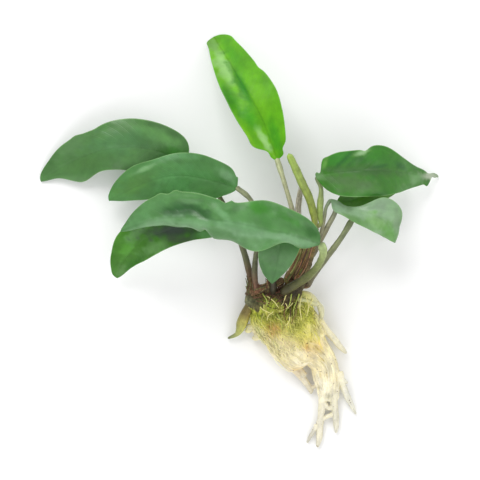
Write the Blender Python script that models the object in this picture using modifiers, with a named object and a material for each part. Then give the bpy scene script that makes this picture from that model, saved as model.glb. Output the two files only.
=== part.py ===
"""Bare-root anubias: a loose water plant, lifted out of the tank and laid on its back on a table.

The rhizome lies low in the middle with its matted roots to the front, and the leaves fan out
behind it and to both sides. +X is to the right, +Y runs from the roots to the upright leaf,
+Z is up, and the plant rests on z = 0. Tables are in millimetres, and Blender gets metres.
"""

from collections import namedtuple
from math import cos, pi, radians, sin

import bmesh
import bpy
from mathutils import Vector

MM = 0.001

# Driving dimensions, in millimetres.
BLADE_THICK = 0.6
BLADE_END = 0.45  # half-width of a blade where it starts and where it ends
GAP = 0.4  # clear space between two pieces that meet

BLADE_ROWS = 12
BLADE_COLUMNS = 3  # on each side of the midrib
TUBE_STEP = 4.5  # mean spacing of a tube's rings
MAT_SIDES = 28
MAT_RINGS = 16

# A blade is a midrib with two wings. left and right hold the wings' widths at stations spaced
# as the cosine of equal angles, close together at both ends. lean, fold and the two curls are
# degrees at the base, the middle and the tip: lean rolls the blade round its midrib, fold lifts
# both wings at the midrib, and a curl bends one wing further up towards its margin. wave is the
# size in degrees, the count and the phase in turns of the ripple along both margins.
Blade = namedtuple("Blade", "name midrib left right lean fold curl_left curl_right wave kind")

BLADES = (
    Blade(
        "leaf_upright",
        [(16.9, 36.6, 27), (10.3, 54.5, 30), (4.8, 64.5, 28), (-0.6, 74, 22), (-6.2, 84, 11.5),
         (-11.7, 93.6, 0.8)],
        (3.2, 8, 10.5, 10.8, 10.4, 9, 7.2, 5.3, 3.8),
        (4.8, 7.5, 10, 12, 11.6, 10, 8.5, 6.6, 3.9),
        (0, 0, 0), (12, 10, 6), (0, 8, 4), (0, -10, -6), (8, 2.5, 0.1), "young",
    ),
    Blade(
        "leaf_far_left",
        [(-25, 34.5, 11), (-35, 40, 14), (-48, 42.5, 15), (-62, 41.5, 11.5), (-77.3, 36, 5),
         (-91.2, 27.5, 0.7)],
        (3, 7, 10, 11.5, 10.5, 9.2, 10.5, 3.6, 1.2),
        (6, 10.2, 12, 13, 12.8, 10, 9, 5.7, 3),
        (0, 4, 0), (6, 4, 4), (0, -16, -8), (0, -14, -8), (12, 3, 0.3), "mature",
    ),
    Blade(
        "leaf_left",
        [(-1.2, 23.8, 20), (-14, 27.5, 23), (-28, 29.5, 23), (-42, 26.5, 18), (-59.5, 18.6, 9.5)],
        (2.2, 5.2, 9, 11, 11.5, 10, 7.3, 4, 1.2),
        (4, 7.9, 9.5, 10.7, 10.2, 9, 9.2, 6.8, 3.3),
        (0, 6, 0), (8, 4, 4), (0, -18, -8), (0, -14, -8), (8, 2, 0.6), "mature",
    ),
    Blade(
        "leaf_front",
        [(35.4, -1.3, 47), (24, 2.5, 52), (10, 5.5, 54.5), (-5, 8.5, 54.5), (-22, 10.5, 50),
         (-38, 9.5, 42), (-53, 4.5, 31)],
        (2, 6, 6, 11.5, 11, 12, 8.5, 3.2, 1.2),
        (5, 8.4, 10.7, 12.4, 8.6, 11, 10.8, 6.6, 2.3),
        (0, 0, 0), (-4, -4, -4), (-30, -75, -45, -60, -80, -100, -60), (-10, 6, -10), (14, 3, 0.35),
        "mature",
    ),
    Blade(
        "leaf_front_left",
        [(-8, 5, 33), (-22, 6.5, 32), (-36, 3.5, 28), (-46, -1.5, 22), (-52.5, -9, 14), (-56, -16.7, 6)],
        (3, 5, 6.5, 7.5, 8.5, 7.7, 5.1, 3.1, 1.3),
        (2, 4.5, 7, 8.6, 9.4, 9.4, 6.8, 4.3, 2.5),
        (0, 6, 10), (8, 8, 6), (0, 8, 4), (0, -20, -10), (10, 2, 0.2), "young",
    ),
    Blade(
        "leaf_hanging",
        [(19.5, 10.5, 35.5), (18.6, 6, 39.5), (17.8, -3, 40), (16.7, -11.5, 36), (14.6, -18.9, 30)],
        (2.5, 5.5, 8.5, 9.6, 8.8, 6.8, 4.2, 2.1, 0.8),
        (2.5, 5.5, 8.5, 9.6, 9.4, 8.9, 7.5, 5, 1.8),
        (0, 0, 0), (4, 6, 4), (0, -10, -6), (0, -10, -6), (5, 2, 0), "mature",
    ),
    Blade(
        "leaf_right",
        [(34.2, 29.4, 26.5), (44, 30.8, 30), (57, 31.6, 30), (70, 31.3, 22), (81.3, 30.1, 10.5),
         (91.2, 29.6, 0.9)],
        (1.3, 6, 8.8, 9.4, 11.5, 6.7, 3.5, 2.3, 1.2),
        (3, 7.5, 10.7, 11.8, 11.5, 9.1, 5.5, 2.9, 0.6),
        (0, 0, 0), (8, 6, 6), (0, -16, -8), (0, -18, -8), (14, 2.5, 0.75), "mature",
    ),
    Blade(
        "leaf_right_folded",
        [(41.2, 18.6, 21.5), (48, 14.8, 26), (57, 12.8, 30), (64.5, 9, 28), (68.5, 4, 24), (70.2, -0.6, 19)],
        (0.8, 1.3, 1, 2.6, 9.4, 9.7, 4.4, 2, 0.8),
        (1.1, 3.6, 3.8, 6.2, 6.7, 6.4, 4.5, 2.7, 0.9),
        (0, 0, 0), (4, 4, 4), (0, -20, -10), (0, -20, -10), (6, 2, 0.5), "pale",
    ),
    Blade(
        "leaf_right_back",
        [(44.2, 17.4, 17.8), (52, 18.6, 18.5), (61, 22, 15.5), (69, 25, 10), (76, 26.5, 4.5)],
        (1.8, 4, 5.8, 7, 7.2, 6.4, 4.8, 2.8, 1.1),
        (1.8, 3.4, 4.6, 5.2, 5.2, 4.8, 3.8, 2.4, 1),
        (0, 0, 0), (8, 6, 6), (0, -14, -8), (0, -14, -8), (6, 2, 0.2), "mature",
    ),
    Blade(
        "leaf_right_under",
        [(52.2, 11, 17.2), (57, 11.3, 14.8), (61.5, 10, 11), (65.5, 7, 6.8), (68.5, 3.5, 3)],
        (1.4, 2.8, 4, 4.6, 4.6, 4.2, 3.2, 2, 0.8),
        (1.4, 2.8, 4, 4.6, 4.6, 4.2, 3.2, 2, 0.8),
        (0, 0, 0), (8, 6, 6), (0, -10, -6), (0, -10, -6), (5, 2, 0.6), "young",
    ),
)

# A round stem: the points of its centreline and its radius at each of them.
Stem = namedtuple("Stem", "name points radii sides kind")

STEMS = (
    Stem(
        "petiole_upright",
        [(27, -1, 21), (25.4, 4.5, 22.3), (24.1, 12.6, 23.5), (20.6, 24.8, 25.5), (17.1, 36, 26.8)],
        (1.3, 1.2, 1.1, 1.05, 1.15), 8, "petiole",
    ),
    Stem(
        "petiole_far_left",
        [(5.8, -21.4, 10.8), (4, -12.4, 12.5), (1.7, -4, 13.5), (-2.2, 6, 13.5), (-7.3, 17, 12.5),
         (-14.5, 27.5, 11.3), (-24.3, 34.1, 11)],
        (1.7, 1.5, 1.35, 1.2, 1.1, 1, 1.15), 8, "petiole",
    ),
    Stem(
        "petiole_left",
        [(7.6, -22.8, 14), (6.9, -16, 17), (7.2, -8, 19.5), (8.8, 2, 21), (8.2, 12, 21.3),
         (4.5, 19.2, 20.8), (-0.5, 23.5, 20.1)],
        (1.5, 1.35, 1.2, 1.15, 1.1, 1.05, 1.15), 8, "petiole",
    ),
    Stem(
        "petiole_front",
        [(20.5, -22.6, 19.2), (24.5, -20, 23.5), (30.6, -15.9, 30), (35, -10.9, 37),
         (37.2, -5.4, 43), (36.5, -2.2, 46.3)],
        (2, 2, 1.8, 1.6, 1.4, 1.3), 8, "petiole",
    ),
    Stem(
        "petiole_front_left",
        [(15.5, -23, 16.8), (15.3, -19, 21.5), (14.2, -10, 28), (8, -1, 32.5), (-1, 3.6, 33.5),
         (-7, 4.8, 33.1)],
        (1.5, 1.35, 1.2, 1.15, 1.1, 1.15), 8, "petiole",
    ),
    Stem(
        "petiole_hanging",
        [(28.6, 1.5, 25.2), (26, 5, 29), (23, 8.8, 32.2), (20.4, 11.2, 34.1)],
        (1.2, 1.1, 1.05, 1.1), 8, "petiole",
    ),
    Stem(
        "petiole_right",
        [(36.6, 7.8, 22.2), (36.2, 12, 22.7), (36.4, 17, 23.5), (36.7, 23.5, 24.3),
         (35.2, 28, 24.6)],
        (1, 1.5, 1.5, 1, 1.1), 8, "petiole",
    ),
    Stem(
        "petiole_right_folded",
        [(36, 1.5, 19.7), (37.4, 5.6, 19.8), (38.4, 11, 19.8), (39.1, 15, 20), (40.6, 17.7, 20.6)],
        (0.9, 0.85, 0.8, 0.75, 0.8), 8, "petiole",
    ),
    Stem(
        "petiole_right_back",
        [(33.2, -6.5, 14.8), (37.4, 1.5, 15.8), (40.2, 7, 16.8), (43, 12.3, 17),
         (43.8, 15.9, 16.9)],
        (1.1, 1.2, 1.15, 1.1, 1.05), 8, "petiole",
    ),
    Stem(
        "petiole_right_under",
        [(30.7, -20.2, 10.4), (33.3, -15.8, 12.4), (38.6, -8.7, 15), (46.1, 1.5, 16.8),
         (51.2, 9.9, 17.1)],
        (1.5, 1.5, 1.45, 1.3, 1.2), 8, "petiole",
    ),
    Stem(
        "rolled_leaf",
        [(33.8, 6.8, 24.4), (33.6, 11, 25.4), (31.3, 19.2, 27.8), (28, 26, 30.2), (25, 32.6, 32.3),
         (22.6, 37.6, 33.6), (22.1, 38.8, 33.9)],
        (1.4, 1.6, 1.9, 1.9, 1.8, 1.5, 0.6), 8, "young_stem",
    ),
    Stem(
        "old_sheath",
        [(29.2, 4.6, 18.5), (27.1, 8.8, 18.6), (26.5, 14, 19.5), (27.1, 20, 21), (27.8, 25, 22)],
        (1.2, 1.2, 1.1, 0.9, 0.3), 8, "bract",
    ),
    Stem(
        "crown_sheath_upper",
        [(25.5, -16.5, 20.9), (28.2, -11, 22.4), (30.6, -4.2, 25.2), (31.6, -0.5, 26.8)],
        (0.8, 1.3, 1.2, 0.5), 8, "bract",
    ),
    Stem(
        "crown_sheath_side",
        [(21.2, -18, 17.7), (24.2, -12.5, 19.6), (26.5, -6.5, 22.1), (27.4, -3.6, 23.2)],
        (0.8, 1.2, 1.1, 0.5), 8, "bract",
    ),
    Stem(
        "rhizome",
        [(3.8, -25.5, 9), (8, -27, 10.5), (13, -28, 11.5), (19, -26, 12.5), (24.5, -21.5, 13.5),
         (28.5, -13, 16), (31, -4, 20), (33.5, 5.8, 23.2)],
        (3.2, 4.6, 5.4, 5.2, 4.3, 3.6, 3.2, 2.3), 12, "rhizome",
    ),
    Stem(
        "side_shoot",
        [(3, -30.2, 7.4), (1.6, -34.9, 6), (0, -39, 4.6), (-1.5, -42, 3.4), (-4.5, -44.6, 1.8)],
        (2.1, 2, 1.8, 1.3, 0.6), 8, "young_stem",
    ),
    Stem(
        "root_loop",
        [(31.8, -24.8, 8.6), (34.7, -27.7, 8.5), (36.7, -30.2, 8.2), (37.3, -33, 7.8),
         (37.2, -35, 7.2)],
        (1.6, 1.7, 1.7, 1.5, 1.1), 6, "root",
    ),
    Stem(
        "root_right",
        [(40.2, -41.2, 6.4), (42.9, -44.4, 5.6), (45.7, -47.9, 4.6), (48.8, -51.3, 3)],
        (1.5, 1.6, 1.4, 0.6), 6, "root",
    ),
    Stem(
        "root_low_right",
        [(47.4, -65.8, 4.5), (48.8, -69.9, 3.5), (51.3, -75, 2.3), (53.3, -79.3, 1.5)],
        (1.4, 1.4, 1.2, 0.5), 6, "root",
    ),
    Stem(
        "root_tip_right",
        [(43.4, -75, 3.5), (44.1, -79.7, 2.8), (44.3, -84.4, 2.1), (44.4, -87.8, 1.2)],
        (1.7, 1.5, 1.3, 0.6), 6, "root",
    ),
    Stem(
        "root_tip",
        [(38, -75, 3.2), (37.5, -79, 2.6), (36.9, -83.5, 2.2), (36.7, -89, 1.9),
         (35.9, -94.3, 1.2)],
        (1.6, 1.5, 1.6, 1.6, 0.7), 6, "root",
    ),
    Stem(
        "root_tip_fork",
        [(34, -87.2, 1.9), (32.6, -89.6, 1.4), (31.2, -92.4, 0.9)],
        (0.9, 0.85, 0.5), 6, "root",
    ),
    Stem(
        "root_left",
        [(25.6, -61.1, 4.4), (28.5, -63.1, 3.9), (31.1, -65.6, 3.2), (32.7, -67.8, 2.3),
         (32.6, -69.8, 1.5)],
        (1.7, 1.9, 1.7, 1.3, 0.6), 6, "root",
    ),
    Stem(
        "root_short_upper",
        [(5.9, -39.2, 5.4), (4.5, -40.5, 4.6), (3, -41.4, 3.5)],
        (1.7, 1.5, 0.7), 6, "root",
    ),
    Stem(
        "root_short_lower",
        [(9, -43.4, 4.8), (7.6, -44.3, 4), (6.2, -44.6, 3)],
        (1.5, 1.4, 0.8), 6, "root",
    ),
)

# The root mat's axis as (x, y, half-width, height), from under the rhizome to its forks.
MAT = (
    (19, -23.5, 9, 6), (18.8, -31.2, 14, 12), (22, -37.6, 13.4, 14.5), (26.3, -43.9, 12.9, 14),
    (31, -50.3, 11.6, 12.5), (37.4, -55.5, 7.2, 11), (39.9, -62.6, 6, 9.5), (40.8, -68.5, 5.2, 8),
    (40.7, -73.4, 4.5, 6),
)
MAT_FOOT = -0.8  # the mat is modelled this far under the table, and then cut flat
MAT_RIDGES = (7, 0.04)  # how many ridges run round the mat, and their share of its radius
MAT_TWIST = 2.0  # how far the ridges turn, in radians, from the mat's top to its forks
SCARS = (24, 0.06)  # rings left on the rhizome by old leaves: how many, and their share of its radius

TABLE_BLOCK = ((30, -45, -5), (100, 100, 10))  # centre and sides of the block that cuts the mat flat
NEAR_ON_MIDRIB = 0.01  # how far ahead and behind to look for a blade's direction
NEAR_ON_MAT = 0.02
STRAIGHT = 1e-4  # radians of bend below which a wing counts as flat
SEAM = 1e-6  # metres within which the ends of a curve's mesh are joined

COLOURS = {  # base colour and roughness
    "young": ((0.12, 0.42, 0.03), 0.35),
    "mature": ((0.08, 0.22, 0.06), 0.4),
    "pale": ((0.22, 0.40, 0.18), 0.35),
    "petiole": ((0.24, 0.27, 0.12), 0.5),
    "young_stem": ((0.35, 0.42, 0.09), 0.45),
    "bract": ((0.26, 0.20, 0.14), 0.7),
    "rhizome": ((0.12, 0.10, 0.05), 0.7),
    "root": ((0.75, 0.70, 0.48), 0.6),
}


def through(values, t):
    """The value at t, from 0 to 1, on a smooth curve through evenly spaced numbers or points."""
    last = len(values) - 1
    at = min(max(t, 0.0), 1.0) * last
    i = min(int(at), last - 1)
    f = at - i
    a, b = values[i], values[i + 1]
    before = values[i - 1] if i > 0 else a * 2 - b
    after = values[i + 2] if i + 2 <= last else b * 2 - a
    slope_a, slope_b = (b - before) * 0.5, (after - a) * 0.5
    f2, f3 = f * f, f * f * f
    from_a = a * (2 * f3 - 3 * f2 + 1) + slope_a * (f3 - 2 * f2 + f)
    return from_a + b * (3 * f2 - 2 * f3) + slope_b * (f3 - f2)


def wing(width, fold, curl, v):
    """How far a wing reaches sideways and up at share v of its width, bending from fold to fold + curl."""
    a, bend = radians(fold), radians(curl)
    if abs(bend) < STRAIGHT:
        return width * v * cos(a), width * v * sin(a)
    end = a + bend * v
    return width * (sin(end) - sin(a)) / bend, width * (cos(a) - cos(end)) / bend


def blade_point(blade, t, u):
    """A point of the blade: t runs evenly in angle from base to tip, u from -1 at the left margin to 1."""
    share = (1 - cos(pi * t)) / 2
    midrib = [Vector(p) for p in blade.midrib]
    here = through(midrib, share)
    ahead, behind = min(share + NEAR_ON_MIDRIB, 1), max(share - NEAR_ON_MIDRIB, 0)
    along = (through(midrib, ahead) - through(midrib, behind)).normalized()
    side = along.cross(Vector((0, 0, 1))).normalized()
    face = side.cross(along)
    lean = radians(through(blade.lean, share))
    side, face = side * cos(lean) + face * sin(lean), face * cos(lean) - side * sin(lean)
    widths = blade.left if u < 0 else blade.right
    width = max(through((0, *widths, 0), t), BLADE_END)
    size, count, phase = blade.wave
    curl = through(blade.curl_left if u < 0 else blade.curl_right, share)
    ripple = size * sin(2 * pi * (count * share + phase)) * abs(u) * sin(pi * share)
    out, up = wing(width, through(blade.fold, share), curl + ripple, abs(u))
    return here + side * (out if u > 0 else -out) + face * up


def material(kind):
    found = bpy.data.materials.get(kind)
    if found:
        return found
    made = bpy.data.materials.new(kind)
    made.use_nodes = True
    colour, roughness = COLOURS[kind]
    shader = made.node_tree.nodes["Principled BSDF"]
    shader.inputs["Base Color"].default_value = (*colour, 1)
    shader.inputs["Roughness"].default_value = roughness
    return made


def add(name, data, kind, collection):
    made = bpy.data.objects.new(name, data)
    data.materials.append(material(kind))
    collection.objects.link(made)
    return made


def grid_mesh(name, rows, closed):
    """A mesh from rows of points. closed joins each row's end to its start and caps both ends."""
    made = bmesh.new()
    lines = [[made.verts.new(Vector(p) * MM) for p in row] for row in rows]
    count = len(lines[0])
    for a, b in zip(lines, lines[1:]):
        for i in range(count if closed else count - 1):
            j = (i + 1) % count
            made.faces.new((a[i], a[j], b[j], b[i]))
    if closed:
        made.faces.new(lines[0])
        made.faces.new(lines[-1])
    bmesh.ops.recalc_face_normals(made, faces=made.faces)
    mesh = bpy.data.meshes.new(name)
    made.to_mesh(mesh)
    made.free()
    mesh.shade_smooth()
    return mesh


def make_blade(blade, collection):
    us = [i / BLADE_COLUMNS for i in range(-BLADE_COLUMNS, BLADE_COLUMNS + 1)]
    rows = [[blade_point(blade, j / BLADE_ROWS, u) for u in us] for j in range(BLADE_ROWS + 1)]
    made = add(blade.name, grid_mesh(blade.name, rows, False), blade.kind, collection)
    shell = made.modifiers.new("thickness", "SOLIDIFY")
    shell.thickness = BLADE_THICK * MM
    shell.offset = 0
    return made


def tube_curve(name, points, radii, sides, extra=0.0, scars=(0, 0)):
    """A curve object's data: a round tube through the points, its radius following radii."""
    points = [Vector(p) for p in points]
    length = sum((b - a).length for a, b in zip(points, points[1:]))
    steps = max(round(length / TUBE_STEP), len(points), scars[0] * 2)
    curve = bpy.data.curves.new(name, "CURVE")
    curve.dimensions = "3D"
    curve.bevel_depth = MM
    curve.bevel_resolution = sides // 2 - 2
    curve.use_fill_caps = True
    line = curve.splines.new("POLY")
    line.points.add(steps)
    for i, point in enumerate(line.points):
        point.co = (*(through(points, i / steps) * MM), 1)
        ring = 1 + scars[1] * (-1) ** i
        point.radius = through(radii, i / steps) * ring + extra
    return curve


def solid_mesh(name, curve):
    """The closed mesh of a curve, for a piece that a Boolean reads."""
    holder = bpy.data.objects.new(name, curve)
    bpy.context.scene.collection.objects.link(holder)
    graph = bpy.context.evaluated_depsgraph_get()
    mesh = bpy.data.meshes.new_from_object(holder.evaluated_get(graph))
    bpy.data.objects.remove(holder)
    shape = bmesh.new()
    shape.from_mesh(mesh)
    bmesh.ops.remove_doubles(shape, verts=shape.verts, dist=SEAM)
    bmesh.ops.recalc_face_normals(shape, faces=shape.faces)
    shape.to_mesh(mesh)
    shape.free()
    return mesh


def mat_rows():
    """Rings of the root mat: upright ovals across its axis, ridged like the bundled roots."""
    rows = []
    axis = [Vector(row) for row in MAT]
    for i in range(MAT_RINGS + 1):
        t = i / MAT_RINGS
        x, y, half, top = through(axis, t)
        ahead = through(axis, min(t + NEAR_ON_MAT, 1)) - through(axis, max(t - NEAR_ON_MAT, 0))
        across = Vector((ahead[1], -ahead[0], 0)).normalized()
        middle = Vector((x, y, (top + MAT_FOOT) / 2))
        row = []
        for k in range(MAT_SIDES):
            turn = 2 * pi * k / MAT_SIDES
            ridge = 1 + MAT_RIDGES[1] * sin(MAT_RIDGES[0] * turn + MAT_TWIST * t)
            rise = (top - MAT_FOOT) / 2 * ridge * sin(turn)
            row.append(middle + across * half * ridge * cos(turn) + Vector((0, 0, rise)))
        rows.append(row)
    return rows


def make_mat(collection, cutters):
    made = add("root_mat", grid_mesh("root_mat", mat_rows(), True), "root", collection)
    rhizome = next(stem for stem in STEMS if stem.name == "rhizome")
    grown = tube_curve("rhizome_seat", rhizome.points, rhizome.radii, rhizome.sides, GAP, SCARS)
    seat = bpy.data.objects.new("rhizome_seat", solid_mesh("rhizome_seat", grown))
    centre, sides = TABLE_BLOCK
    bpy.ops.mesh.primitive_cube_add(size=1, location=Vector(centre) * MM)
    table = bpy.context.object
    table.name = "table"
    table.scale = Vector(sides) * MM
    for owner in list(table.users_collection):
        owner.objects.unlink(table)
    for cutter in (seat, table):
        cutters.objects.link(cutter)
        cutter.hide_render = True
        cutter.display_type = "WIRE"
        cut = made.modifiers.new("cut_by_" + cutter.name, "BOOLEAN")
        cut.operation = "DIFFERENCE"
        cut.object = cutter
    return made


def main():
    for old in list(bpy.data.objects):
        bpy.data.objects.remove(old)
    plant = bpy.data.collections.new("anubias")
    cutters = bpy.data.collections.new("cutters")
    for collection in (plant, cutters):
        bpy.context.scene.collection.children.link(collection)
    for blade in BLADES:
        make_blade(blade, plant)
    for stem in STEMS:
        scars = SCARS if stem.name == "rhizome" else (0, 0)
        tube = tube_curve(stem.name, stem.points, stem.radii, stem.sides, 0.0, scars)
        add(stem.name, tube, stem.kind, plant)
    make_mat(plant, cutters)


main()
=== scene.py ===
"""Looks of the bare-root anubias: leathery blades, grooved stalks, a scarred rhizome and matted roots.

Tables are in millimetres, in the CAD's frame: +X right, +Y from the roots to the upright leaf, +Z up.
Their colours are 0 to 255 values, which rgb() turns linear.
"""
from collections import namedtuple
from math import pi, radians

import bpy
import numpy as np
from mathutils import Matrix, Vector


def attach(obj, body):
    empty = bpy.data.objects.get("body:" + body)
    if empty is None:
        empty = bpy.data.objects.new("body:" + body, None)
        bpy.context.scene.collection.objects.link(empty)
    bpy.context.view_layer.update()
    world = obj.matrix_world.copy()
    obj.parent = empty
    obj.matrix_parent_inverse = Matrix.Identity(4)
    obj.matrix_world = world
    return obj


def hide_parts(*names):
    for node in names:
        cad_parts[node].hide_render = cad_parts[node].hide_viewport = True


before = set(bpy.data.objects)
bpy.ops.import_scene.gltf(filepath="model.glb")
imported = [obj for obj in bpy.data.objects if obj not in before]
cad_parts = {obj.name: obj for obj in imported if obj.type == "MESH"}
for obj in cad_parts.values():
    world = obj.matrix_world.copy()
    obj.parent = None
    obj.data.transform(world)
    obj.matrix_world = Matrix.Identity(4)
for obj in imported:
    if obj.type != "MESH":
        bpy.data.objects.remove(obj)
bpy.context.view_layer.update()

MM = 0.001
BODY = "root"
SHARP_EDGE = 70  # degrees; edges above this stay sharp
TUBE_STEP = 0.55  # from ring to ring along a stalk or root
WAVES = 6  # directions that each octave of the noise adds up
NOISE_RANGE = 3.2  # brings the sum of the waves to about -1 to 1
TINY = 1e-12  # stands in for the length of a zero vector


def rgb(colour):
    """A linear colour from the usual 0 to 255 values."""
    share = np.array(colour) / 255
    return np.where(share <= 0.04045, share / 12.92, ((share + 0.055) / 1.055) ** 2.4)


def smooth(values, t):
    """The values at t, from 0 to 1, on a smooth curve through evenly spaced numbers or points."""
    values = np.asarray(values, float)
    last = len(values) - 1
    at = np.clip(np.asarray(t, float), 0, 1) * last
    i = np.minimum(at.astype(int), last - 1)
    f = at - i
    padded = np.concatenate([2 * values[:1] - values[1:2], values, 2 * values[-1:] - values[-2:-1]])
    before, a, b, after = padded[i], padded[i + 1], padded[i + 2], padded[i + 3]
    if values.ndim > 1:
        f = f[..., None]
    slope_a, slope_b = (b - before) / 2, (after - a) / 2
    f2, f3 = f * f, f * f * f
    from_a = a * (2 * f3 - 3 * f2 + 1) + slope_a * (f3 - 2 * f2 + f)
    return from_a + b * (3 * f2 - 2 * f3) + slope_b * (f3 - f2)


def unit(v):
    return v / np.maximum(np.linalg.norm(v, axis=-1, keepdims=True), TINY)


def bell(x, width):
    return np.exp(-(x / width) ** 2)


def rise(x, start, span):
    """0 up to start, then an even climb to 1 over the span; a negative span climbs the other way."""
    return np.clip((x - start) / span, 0, 1)


def wrapped(angle):
    """The angle brought to between -pi and pi."""
    return np.angle(np.exp(1j * angle))


def hash_of(name):
    """A number made from the name, to seed its random draws."""
    return sum((i + 1) * ord(letter) for i, letter in enumerate(name))


def noise(points, size, seed, octaves=3):
    """A smooth random field of about -1 to 1 over points, with features of about size mm."""
    rng = np.random.default_rng(seed)
    points = np.asarray(points, float)
    total = np.zeros(points.shape[:-1])
    for octave in range(octaves):
        for _ in range(WAVES):
            direction = unit(rng.normal(size=points.shape[-1]))
            reach = 2 * pi / (size / 2 ** octave * rng.uniform(0.8, 1.6))
            total += np.sin(points @ direction * reach + rng.uniform(0, 2 * pi)) * 0.5 ** octave
    return total / NOISE_RANGE


# ------------------------ meshes

def make_piece(name, node, slot, material, points, faces, tint, extra):
    """An object from points in mm, standing for a CAD node. extra is a name and its value at each point."""
    points = np.asarray(points, float) * MM
    mesh = bpy.data.meshes.new(name)
    mesh.from_pydata(points.tolist(), [], [tuple(f) for f in faces])
    mesh.update()
    colours = mesh.color_attributes.new("tint", "FLOAT_COLOR", "POINT")
    full = np.concatenate([np.clip(tint, 0, 1), np.ones((len(points), 1))], axis=1)
    colours.data.foreach_set("color", full.astype(np.float32).ravel())
    key, values = extra
    layer = mesh.attributes.new(key, "FLOAT", "POINT")
    layer.data.foreach_set("value", np.asarray(values, np.float32).ravel())
    mesh.materials.append(material)
    mesh.shade_smooth()
    mesh.set_sharp_from_angle(angle=radians(SHARP_EDGE))
    piece = bpy.data.objects.new(name, mesh)
    bpy.context.scene.collection.objects.link(piece)
    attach(piece, BODY)
    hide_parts(node)
    return piece


def grid_faces(rows, columns, start=0, flip=False, wrap=False):
    """Quads over a grid of points numbered row by row."""
    i, j = np.meshgrid(np.arange(rows - 1), np.arange(columns if wrap else columns - 1), indexing="ij")
    k = (j + 1) % columns
    quads = np.stack([i * columns + j, i * columns + k, (i + 1) * columns + k, (i + 1) * columns + j], -1)
    quads = quads.reshape(-1, 4) + start
    return quads[:, ::-1] if flip else quads


class Bundle:
    """Points, faces and colours of many closed tubes, gathered into one mesh."""

    def __init__(self):
        self.points, self.faces, self.tint, self.around, self.count = [], [], [], [], 0

    def add(self, rings, turn, poles, tint):
        """Close the rings of points with a pole at each end. turn goes round each ring."""
        rows, sides = rings.shape[:2]
        points = np.concatenate([rings.reshape(-1, 3), poles])
        quads = grid_faces(rows, sides, wrap=True)
        first, last, end = rows * sides, rows * sides + 1, (rows - 1) * sides
        caps = [(first, (k + 1) % sides, k) for k in range(sides)]
        caps += [(last, end + k, end + (k + 1) % sides) for k in range(sides)]
        caps = np.asarray(caps)
        a, b, c, d = (points[quads[:, k]] - points.mean(0) for k in range(4))
        if np.einsum("ij,ij->", a, np.cross(b, c) + np.cross(c, d)) < 0:
            quads, caps = quads[:, ::-1], caps[:, ::-1]
        self.points.append(points)
        self.faces.extend((quads + self.count).tolist())
        self.faces.extend((caps + self.count).tolist())
        self.tint.append(tint(points))
        self.around.append(np.concatenate([np.tile(turn, rows) / pi, (0, 0)]))
        self.count += len(points)

    def piece(self, name, node, slot, material):
        return make_piece(name, node, slot, material, np.concatenate(self.points), self.faces,
                          np.concatenate(self.tint), ("across", np.concatenate(self.around)))


def centreline(points, step=TUBE_STEP):
    """Evenly fine points on a smooth curve, with each one's place from 0 to 1."""
    points = np.asarray(points, float)
    length = np.linalg.norm(np.diff(points, axis=0), axis=1).sum()
    t = np.linspace(0, 1, max(int(length / step), 4) + 1)
    return smooth(points, t), t


START_CAP, END_CAP = 0.4, 0.8  # how far a tube's ends stand out, in radii


def tube(bundle, line, t, radius, sides, tint, shape=None):
    """A closed round tube. radius is one value a ring; shape(t, turn) scales it round each ring."""
    along = unit(np.gradient(line, axis=0))
    side = unit(np.cross(along[0], (0.2, 0.1, 1.0)))
    frames = []
    for direction in along:
        side = unit(side - direction * np.dot(side, direction))
        frames.append(side)
    side = np.array(frames)
    up = np.cross(side, along)
    turn = 2 * pi * np.arange(sides) / sides
    scale = np.asarray(radius)[:, None] * np.ones(sides)
    if shape is not None:
        scale = scale * shape(t[:, None], turn[None, :])
    ring = side[:, None, :] * np.cos(turn)[None, :, None] + up[:, None, :] * np.sin(turn)[None, :, None]
    poles = (line[0] - along[0] * radius[0] * START_CAP, line[-1] + along[-1] * radius[-1] * END_CAP)

    def ring_tint(points):
        colour = tint(points[:-2], np.repeat(t, sides), np.tile(turn, len(line)))
        return np.concatenate([colour, colour[:1], colour[-1:]])

    bundle.add(line[:, None, :] + ring * scale[..., None], turn, poles, ring_tint)


def even(colour):
    """A tint that gives every point the same linear colour."""
    return lambda points, t, turn: np.ones((len(points), 3)) * colour


def mixed(a, b, share):
    """Colours a turned into b by each point's share."""
    share = share[..., None]
    return a * (1 - share) + b * share


def stops(t, *pairs):
    """Colours at t from (place, colour) pairs in rising order."""
    places = [place for place, _ in pairs]
    colours = np.array([rgb(colour) for _, colour in pairs])
    return np.stack([np.interp(t, places, colours[:, channel]) for channel in range(3)], -1)


def spotted(colour, points, spots, ragged=1.0):
    """The colour with soft round spots of others, each given as x, y, reach, colour, strength."""
    for x, y, reach, spot, strength in spots:
        far = np.hypot(points[:, 0] - x, points[:, 1] - y) * ragged
        colour = mixed(colour, rgb(spot), strength * bell(far, reach))
    return colour


# ------------------------ materials

MIX_A, MIX_B, MIX_RESULT = 6, 7, 2  # the sockets of a mix node that carry colours
SPECK = (122, 96, 58)


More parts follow.
